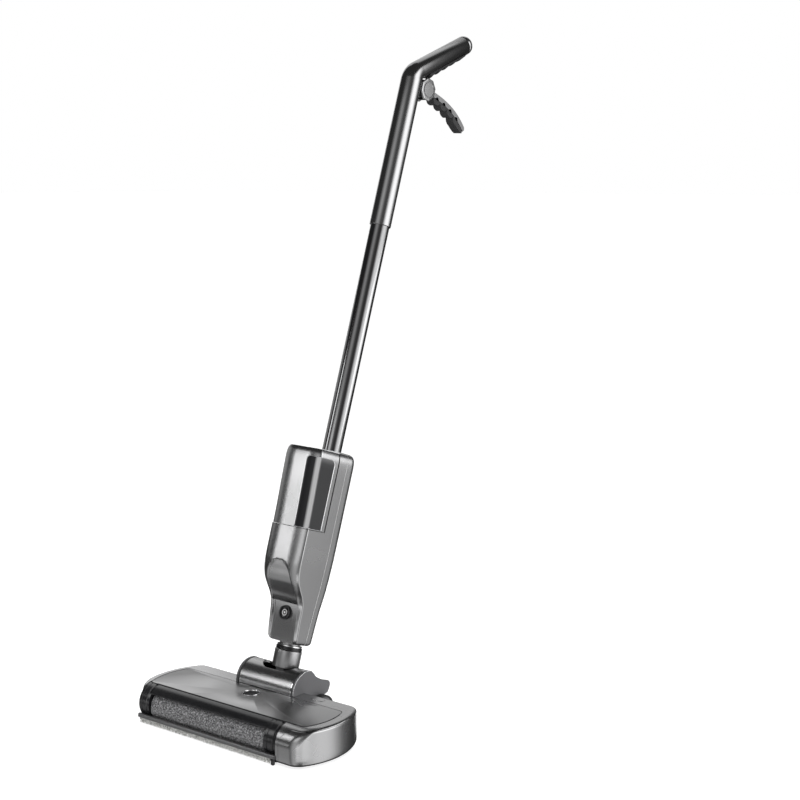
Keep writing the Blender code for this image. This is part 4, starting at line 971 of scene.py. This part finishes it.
def window_edge(margin, proud):
    """The window's outline: up one side, over its top, down the other side and back along its foot."""
    heights = window_levels(WINDOW_LOW, WINDOW_HIGH + margin, 0.00001)
    sides = [[], []]
    for z in heights:
        lane = window_lane(z)
        for way, goal in enumerate(window_limits(lane, z, margin)):
            (x, y), (nx, ny) = lane_point(lane, goal)
            sides[way].append((x + nx * proud, y + ny * proud, z))
    top, low = [], []
    for z, line in ((heights[-1], top), (heights[0], low)):
        lane = window_lane(z)
        start, end = window_limits(lane, z, margin)
        for k in range(1, 24):
            (x, y), (nx, ny) = lane_point(lane, start + (end - start) * k / 24)
            line.append((x + nx * proud, y + ny * proud, z))
    return sides[0] + top + sides[1][::-1] + low[::-1]


# ---- pole, grip and lever ----
def grip_frame(distance):
    """A point along the grip's axis, and the direction that leads to its upper side."""
    along = (sin(GRIP_ANGLE), cos(GRIP_ANGLE))
    return (along[0] * distance, BEND_VERTEX + along[1] * distance), (-along[1], along[0])


TUBE_SIDES = 64


def tube_ring(station, radius):
    """A ring of points across the tube: a station is a place on its axis and the way to its upper side."""
    (y, z), (cy, cz) = station
    ring = []
    for i in range(TUBE_SIDES):
        angle = 2 * pi * i / TUBE_SIDES
        across, sideways = radius * cos(angle), radius * sin(angle)
        ring.append((sideways, y + cy * across, z + cz * across))
    return ring


def make_pole():
    put(pipe("pole_skin", POLE_RADIUS, 0.0147, 0.3, 0.8, "pole", STICK, sides=96), "stick", "black_tube",
        "lower_pole")
    reach = BEND_RADIUS * tan(GRIP_ANGLE / 2)
    stations = [((0.0, BEND_VERTEX - reach), (-1.0, 0.0))]
    drawn = [TUBE_RADIUS + (GRIP_RADIUS - TUBE_RADIUS) * i / 24 for i in range(25)]
    wall = TUBE_RADIUS - TUBE_BORE
    for i in range(1, 25):
        turn = GRIP_ANGLE * i / 24
        centre = (BEND_RADIUS - BEND_RADIUS * cos(turn), BEND_VERTEX - reach + BEND_RADIUS * sin(turn))
        stations.append((centre, (-cos(turn), sin(turn))))
    lower = [((0.0, TUBE_START), (-1.0, 0.0)), ((0.0, TUBE_START + 0.0006), (-1.0, 0.0))]
    profile = [(lower[0], TUBE_BORE + 0.0003), (lower[0], TUBE_RADIUS - 0.0006), (lower[1], TUBE_RADIUS)]
    profile += [(((0.0, TUBE_START + 0.05 * k), (-1.0, 0.0)), TUBE_RADIUS) for k in range(1, 5)]
    profile += list(zip(stations, drawn))
    end = GRIP_LENGTH - 0.016
    profile += [(grip_frame(end - 0.0004), GRIP_RADIUS), (grip_frame(end), GRIP_RADIUS - 0.0003),
                (grip_frame(end), GRIP_RADIUS - wall)]
    profile += [(s, r - wall) for s, r in zip(stations[::-1], drawn[::-1])] + [(lower[1], TUBE_BORE)]
    put(closed_loft("tube_skin", [tube_ring(s, r) for s, r in profile], "tube", STICK), "stick", "grey_tube",
        "handle_tube")
    plug = GRIP_RADIUS - wall - 0.0003
    rounding = [(end - 0.012, plug), (end + 0.0004, plug), (end + 0.0005, GRIP_RADIUS - 0.0003),
                (end + 0.0009, GRIP_RADIUS)]
    for i in range(0, 14):
        turn = radians(6.4 * i)
        rounding.append((end + 0.0035 + 0.0125 * sin(turn), GRIP_RADIUS - 0.0125 * (1 - cos(turn))))
    put(loft("grip_end_skin", [tube_ring(grip_frame(s), r) for s, r in rounding], "tube", STICK), "stick",
        "grey_paint", "grip_end_cap")


def make_grip_pad():
    first, pitch, ridges = 0.034, 0.0212, 5
    stations = [(first - 0.003, 0.0006)]
    for ridge in range(ridges):
        start, deep = first + ridge * pitch, 0.0052 - 0.0006 * ridge
        stations += [(start, deep * 0.86), (start + 0.0006, deep), (start + 0.0022, deep * 0.97)]
        stations += [(start + pitch * k, deep * (1 - k) ** 1.1 * 0.9 + 0.001)
                     for k in (0.25, 0.4, 0.55, 0.7, 0.82, 0.92)]
        stations += [(start + pitch - 0.0014, 0.0009)]
    rings = []
    for distance, depth in stations:
        (y, z), (cy, cz) = grip_frame(distance)
        ring = []
        for radius, angles in ((GRIP_RADIUS + 0.0002, range(-48, 49, 6)), (None, range(48, -49, -6))):
            for turn in angles:
                angle = radians(turn)
                fade = cos(radians(turn * 90 / 52)) ** 0.5
                r = radius or GRIP_RADIUS + 0.0003 + depth * fade
                across, sideways = -r * cos(angle), r * sin(angle)
                ring.append((sideways, y + cy * across, z + cz * across))
        rings.append(ring)
    put(loft("grip_pad_skin", rings, "rubber", STICK, sharp=30), "stick", "black_rubber", "grip_pad")


def lever_line(distance, drop):
    """A point along the lever's bowed upper line, or below it."""
    start, bow = radians(-1.5), radians(17.0)
    share = distance / 0.13
    angle = start - bow * share * share * 0.75
    reach = distance * LEVER_SCALE
    y = HUB[1] + reach * cos(radians(7)) - drop * sin(radians(12) * share)
    z = HUB[2] + 0.0035 + reach * tan(angle) * 0.88 - drop
    return y, z


def scallop(distance):
    """Depth of the finger hollows under the lever."""
    phase = (distance - 0.03) / FINGER_PITCH
    return 0.0038 * max(0.0, sin(2 * pi * phase)) if 0.03 < distance < 0.124 else 0.0


def make_lever():
    top = [lever_line(0.0145 + 0.0119 * i * 0.5, 0.0) for i in range(21)]
    hollows = [0.134 - 0.1195 * i / 96 for i in range(97)]
    under = [lever_line(distance, 0.0082 - scallop(distance)) for distance in hollows]
    lever = prism("lever_skin", top + [lever_line(0.1352, 0.0012), lever_line(0.136, 0.0035)] + under, "x",
                  -0.0084, 0.0084, "grey", STICK)
    eye = drill("eye", EYE_RADIUS, -0.0088, 0.0088, axis="x", centre=HUB)
    cut(lever, eye, operation="UNION")
    gap = [(0.006, 0.03), (-0.03, 0.03), (-0.03, -0.03), (0.006, -0.03)]
    gap += arc((0, 0), 0.0125, -61.3, 61.3, 24)
    cut(lever, prism("mount_gap", [(HUB[1] + a, HUB[2] + b) for a, b in gap], "x", -0.0053, 0.0053, None,
                     STICK), drill("bore", HUB_BORE, -0.02, 0.02, axis="x", centre=HUB, sides=40))
    put(soften(settle(lever), 0.0006, 3), "lever", "grey_paint", "squeeze_lever")
    lobes = [lever_line(LOBE_START, 0.0085)]
    for i in range(97):
        distance = LOBE_START + 0.107 * i / 96
        lobes.append(lever_line(distance, 0.0086 + 0.25 * scallop(distance)))
    for i in range(121):
        distance = 0.133 - 0.108 * i / 120
        phase = ((distance - LOBE_START) / FINGER_PITCH) % 1.0
        depth = 0.007 * (1 - abs(2 * phase - 1) ** 3) + 0.0014
        if distance > 0.112:
            depth = 0.0082 * sqrt(max(0.05, 1 - ((distance - 0.112) / 0.023) ** 2))
        lobes.append(lever_line(distance, 0.009 + depth))
    put(soften(prism("lever_pad_skin", lobes, "x", -0.008, 0.008, "rubber", STICK), 0.0009, 3), "lever",
        "black_rubber", "lever_pad")
    make_hub_caps()


def make_hub_caps():
    """Eight-sided caps on the lever's pin, each with a round groove."""
    rim = HUB_RADIUS
    steps = [(rim - 0.0004, 0.0092), (rim, 0.0096), (rim, 0.0104), (rim - 0.0012, 0.0116),
             (rim - 0.0016, 0.0118), (rim - 0.0056, 0.0118), (rim - 0.0064, 0.0108), (rim - 0.0076, 0.0108),
             (rim - 0.0084, 0.0118), (0.004, 0.0119)]
    points, half = 96, pi / 8
    for word, side in (("right", 1), ("left", -1)):
        rings = []
        for radius, along in steps:
            ring = []
            for k in range(points):
                angle = 2 * pi * k / points
                sector = (angle + half) % (2 * half) - half
                flat = cos(half) / cos(sector)
                share = smooth_step((radius - 0.013) / 0.004)
                ring.append(turn_point(radius * (flat * share + (1 - share)), side * along, angle, "x", HUB))
            rings.append(ring)
        put(loft(f"hub_skin_{word}", rings, "grey", STICK), "stick", "grey_paint", f"hub_cap_{word}")


def dress_frame():
    """Finishes for the CAD nodes that show as they are."""
    for finish_name, nodes in (("rubber", ("front_glide", "wiper_blade", "drive_belt", "tank_valve")),
                               ("plastic", ("head_base", "wiper_holder", "roller_core", "roller_pulley",
                                            "dirty_water_box", "battery_pack", "lever_mount")),
                               ("steel", ("drive_motor", "motor_pulley", "wheel_axle", "roll_pin", "hub_pin",
                                          "lever_spring", "pull_rod")), ("board", ("control_board",)),
                               ("dark", ("water_pump",))):
        for node in nodes:
            dress(node, finish_name)


# ---- stage ----
LENS, CAMERA_PLACE, CAMERA_DIP, CAMERA_TURN = 68.97, (1.6462, -1.6851, 0.8821), 8.38, 38.37


def make_stage():
    corners = [(-60, -60, 0), (60, -60, 0), (60, 60, 0), (-60, 60, 0)]
    floor = make("studio_floor", corners, [(0, 1, 2, 3)], None)
    nodes = Nodes("pale_floor")
    nodes.set(Roughness=0.9, Specular_IOR_Level=0.1, Emission_Color=(1.0, 1.0, 1.0, 1.0),
              Emission_Strength=0.8)
    nodes.colours(nodes.noise(3.0, 2.0), [(0.3, (0.6, 0.6, 0.6)), (0.7, (0.63, 0.63, 0.63))])
    floor.data.materials.append(nodes.material)
    floor.location.z = -0.0002
    floor.visible_glossy = False
    floor.visible_shadow = False

    camera_data = bpy.data.cameras.new("camera")
    camera_data.sensor_width = 36
    camera_data.lens = LENS
    camera = bpy.data.objects.new("camera", camera_data)
    bpy.context.scene.collection.objects.link(camera)
    camera.location = CAMERA_PLACE
    camera.rotation_euler = (radians(90 - CAMERA_DIP), 0.0, radians(CAMERA_TURN))
    bpy.context.scene.camera = camera

    light_room()
    bpy.context.scene.view_settings.view_transform = "Standard"


def light_room():
    """A white studio: bright soft panels and dark gaps in a pale room."""
    world = bpy.data.worlds.new("studio")
    bpy.context.scene.world = world
    world.use_nodes = True
    tree = world.node_tree
    tree.nodes.clear()
    new, join = tree.nodes.new, tree.links.new

    def maths(kind, *values):
        node = new("ShaderNodeMath")
        node.operation = kind
        for slot, value in zip(node.inputs, values):
            if isinstance(value, (int, float)):
                slot.default_value = value
            else:
                join(value, slot)
        return node.outputs[0]

    coords = new("ShaderNodeTexCoord")
    parts = new("ShaderNodeSeparateXYZ")
    join(coords.outputs["Generated"], parts.inputs[0])
    x, y, z = parts.outputs
    azimuth = maths("ARCTAN2", x, maths("MULTIPLY", y, -1.0))
    height = maths("ARCSINE", z)

    def fade(value, near, far):
        """1 up to near, 0 from far on, and soft between them; both in degrees."""
        node = new("ShaderNodeMapRange")
        node.interpolation_type = "SMOOTHSTEP"
        join(value, node.inputs["Value"])
        for key, number in (("From Min", radians(near)), ("From Max", radians(far)), ("To Min", 1.0),
                            ("To Max", 0.0)):
            node.inputs[key].default_value = number
        return node.outputs[0]

    def panel(centre, half, low, high, soft, power):
        """A soft-edged panel: its middle and half width in degrees round the object, and its heights."""
        turn = maths("WRAP", maths("SUBTRACT", azimuth, radians(centre)), pi, -pi)
        across = fade(maths("ABSOLUTE", turn), half - soft, half + soft)
        rise = maths("SUBTRACT", height, radians((low + high) / 2))
        up = fade(maths("ABSOLUTE", rise), (high - low) / 2 - 5, (high - low) / 2 + 5)
        return maths("MULTIPLY", maths("MULTIPLY", across, up), power)

    total = ROOM_GLOW
    for centre, half, low, high, soft, power in PANELS:
        total = maths("ADD", total, panel(centre, half, low, high, soft, power))
    room, backdrop = new("ShaderNodeBackground"), new("ShaderNodeBackground")
    for background in (room, backdrop):
        background.inputs["Color"].default_value = (1.0, 1.0, 1.0, 1.0)
    join(total, room.inputs["Strength"])
    backdrop.inputs["Strength"].default_value = 1.0
    path = new("ShaderNodeLightPath")
    mix = new("ShaderNodeMixShader")
    join(path.outputs["Is Camera Ray"], mix.inputs[0])
    join(room.outputs[0], mix.inputs[1])
    join(backdrop.outputs[0], mix.inputs[2])
    out = new("ShaderNodeOutputWorld")
    join(mix.outputs[0], out.inputs[0])

    lamp_data = bpy.data.lights.new("overhead", "AREA")
    lamp_data.energy, lamp_data.size = 60, 2.5
    lamp = bpy.data.objects.new("overhead", lamp_data)
    bpy.context.scene.collection.objects.link(lamp)
    lamp.location = (0.3, -0.6, 3.2)
    lamp.rotation_euler = (radians(8), radians(5), 0)
    lamp.visible_glossy = False
    for values in SOFTBOXES:
        soft_box(*values)


def soft_box(name, azimuth, away, low, high, half, radiance):
    """An upright light panel round the machine, with its half width in degrees."""
    turn = radians(azimuth)
    middle = Vector((PIVOT[0] + away * sin(turn), PIVOT[1] - away * cos(turn), (low + high) / 2))
    data = bpy.data.lights.new(name, "AREA")
    data.shape = "RECTANGLE"
    data.size, data.size_y = 2 * away * tan(radians(half)), high - low
    data.energy = radiance * pi * data.size * data.size_y
    data.spread = pi
    lamp = bpy.data.objects.new(name, data)
    bpy.context.scene.collection.objects.link(lamp)
    lamp.location = middle
    lamp.rotation_euler = (radians(90), 0, turn)


ROOM_GLOW = 0.05
SOFTBOXES = (                    # name, middle, distance, lowest, highest, half width, brightness
    ("box_front", -41, 1.2, 0.44, 1.08, 6.5, 3.6),
    ("box_barrel", -38, 1.2, -0.08, 0.1, 9, 1.5),
    ("box_left", -100, 1.0, 0.35, 0.85, 30, 0.55),
    ("box_cap", 196, 0.8, -0.3, 0.0, 9, 1.7),
    ("box_wall", 7, 1.4, 0.52, 1.08, 14, 0.95),
    ("box_head", 52, 1.2, -0.5, -0.03, 26, 1.5),
    ("box_grip", 130, 1.3, 0.3, 0.7, 16, 2.4),
)

PANELS = (                       # middle, half width, lowest, highest, softness, power
    (7, 20, -60, 35, 20, 0.8),
    (52, 16, -60, 35, 12, 0.08),
    (107, 27, -8, 35, 18, 2.85),
    (107, 27, -60, -8, 18, 1.45),
    (150, 14, -60, 35, 12, 0.12),
    (220, 30, 3, 60, 12, 0.8),
    (-45, 16, -60, -16, 8, 0.6),
    (-112, 6, -20, 60, 5, 0.5),
)


def main():
    make_stage()
    for build in (make_head, make_front, make_carriage, make_barrel, make_neck, make_body, make_button,
                  make_tank, make_pole, make_grip_pad, make_lever, dress_frame):
        build()


main()
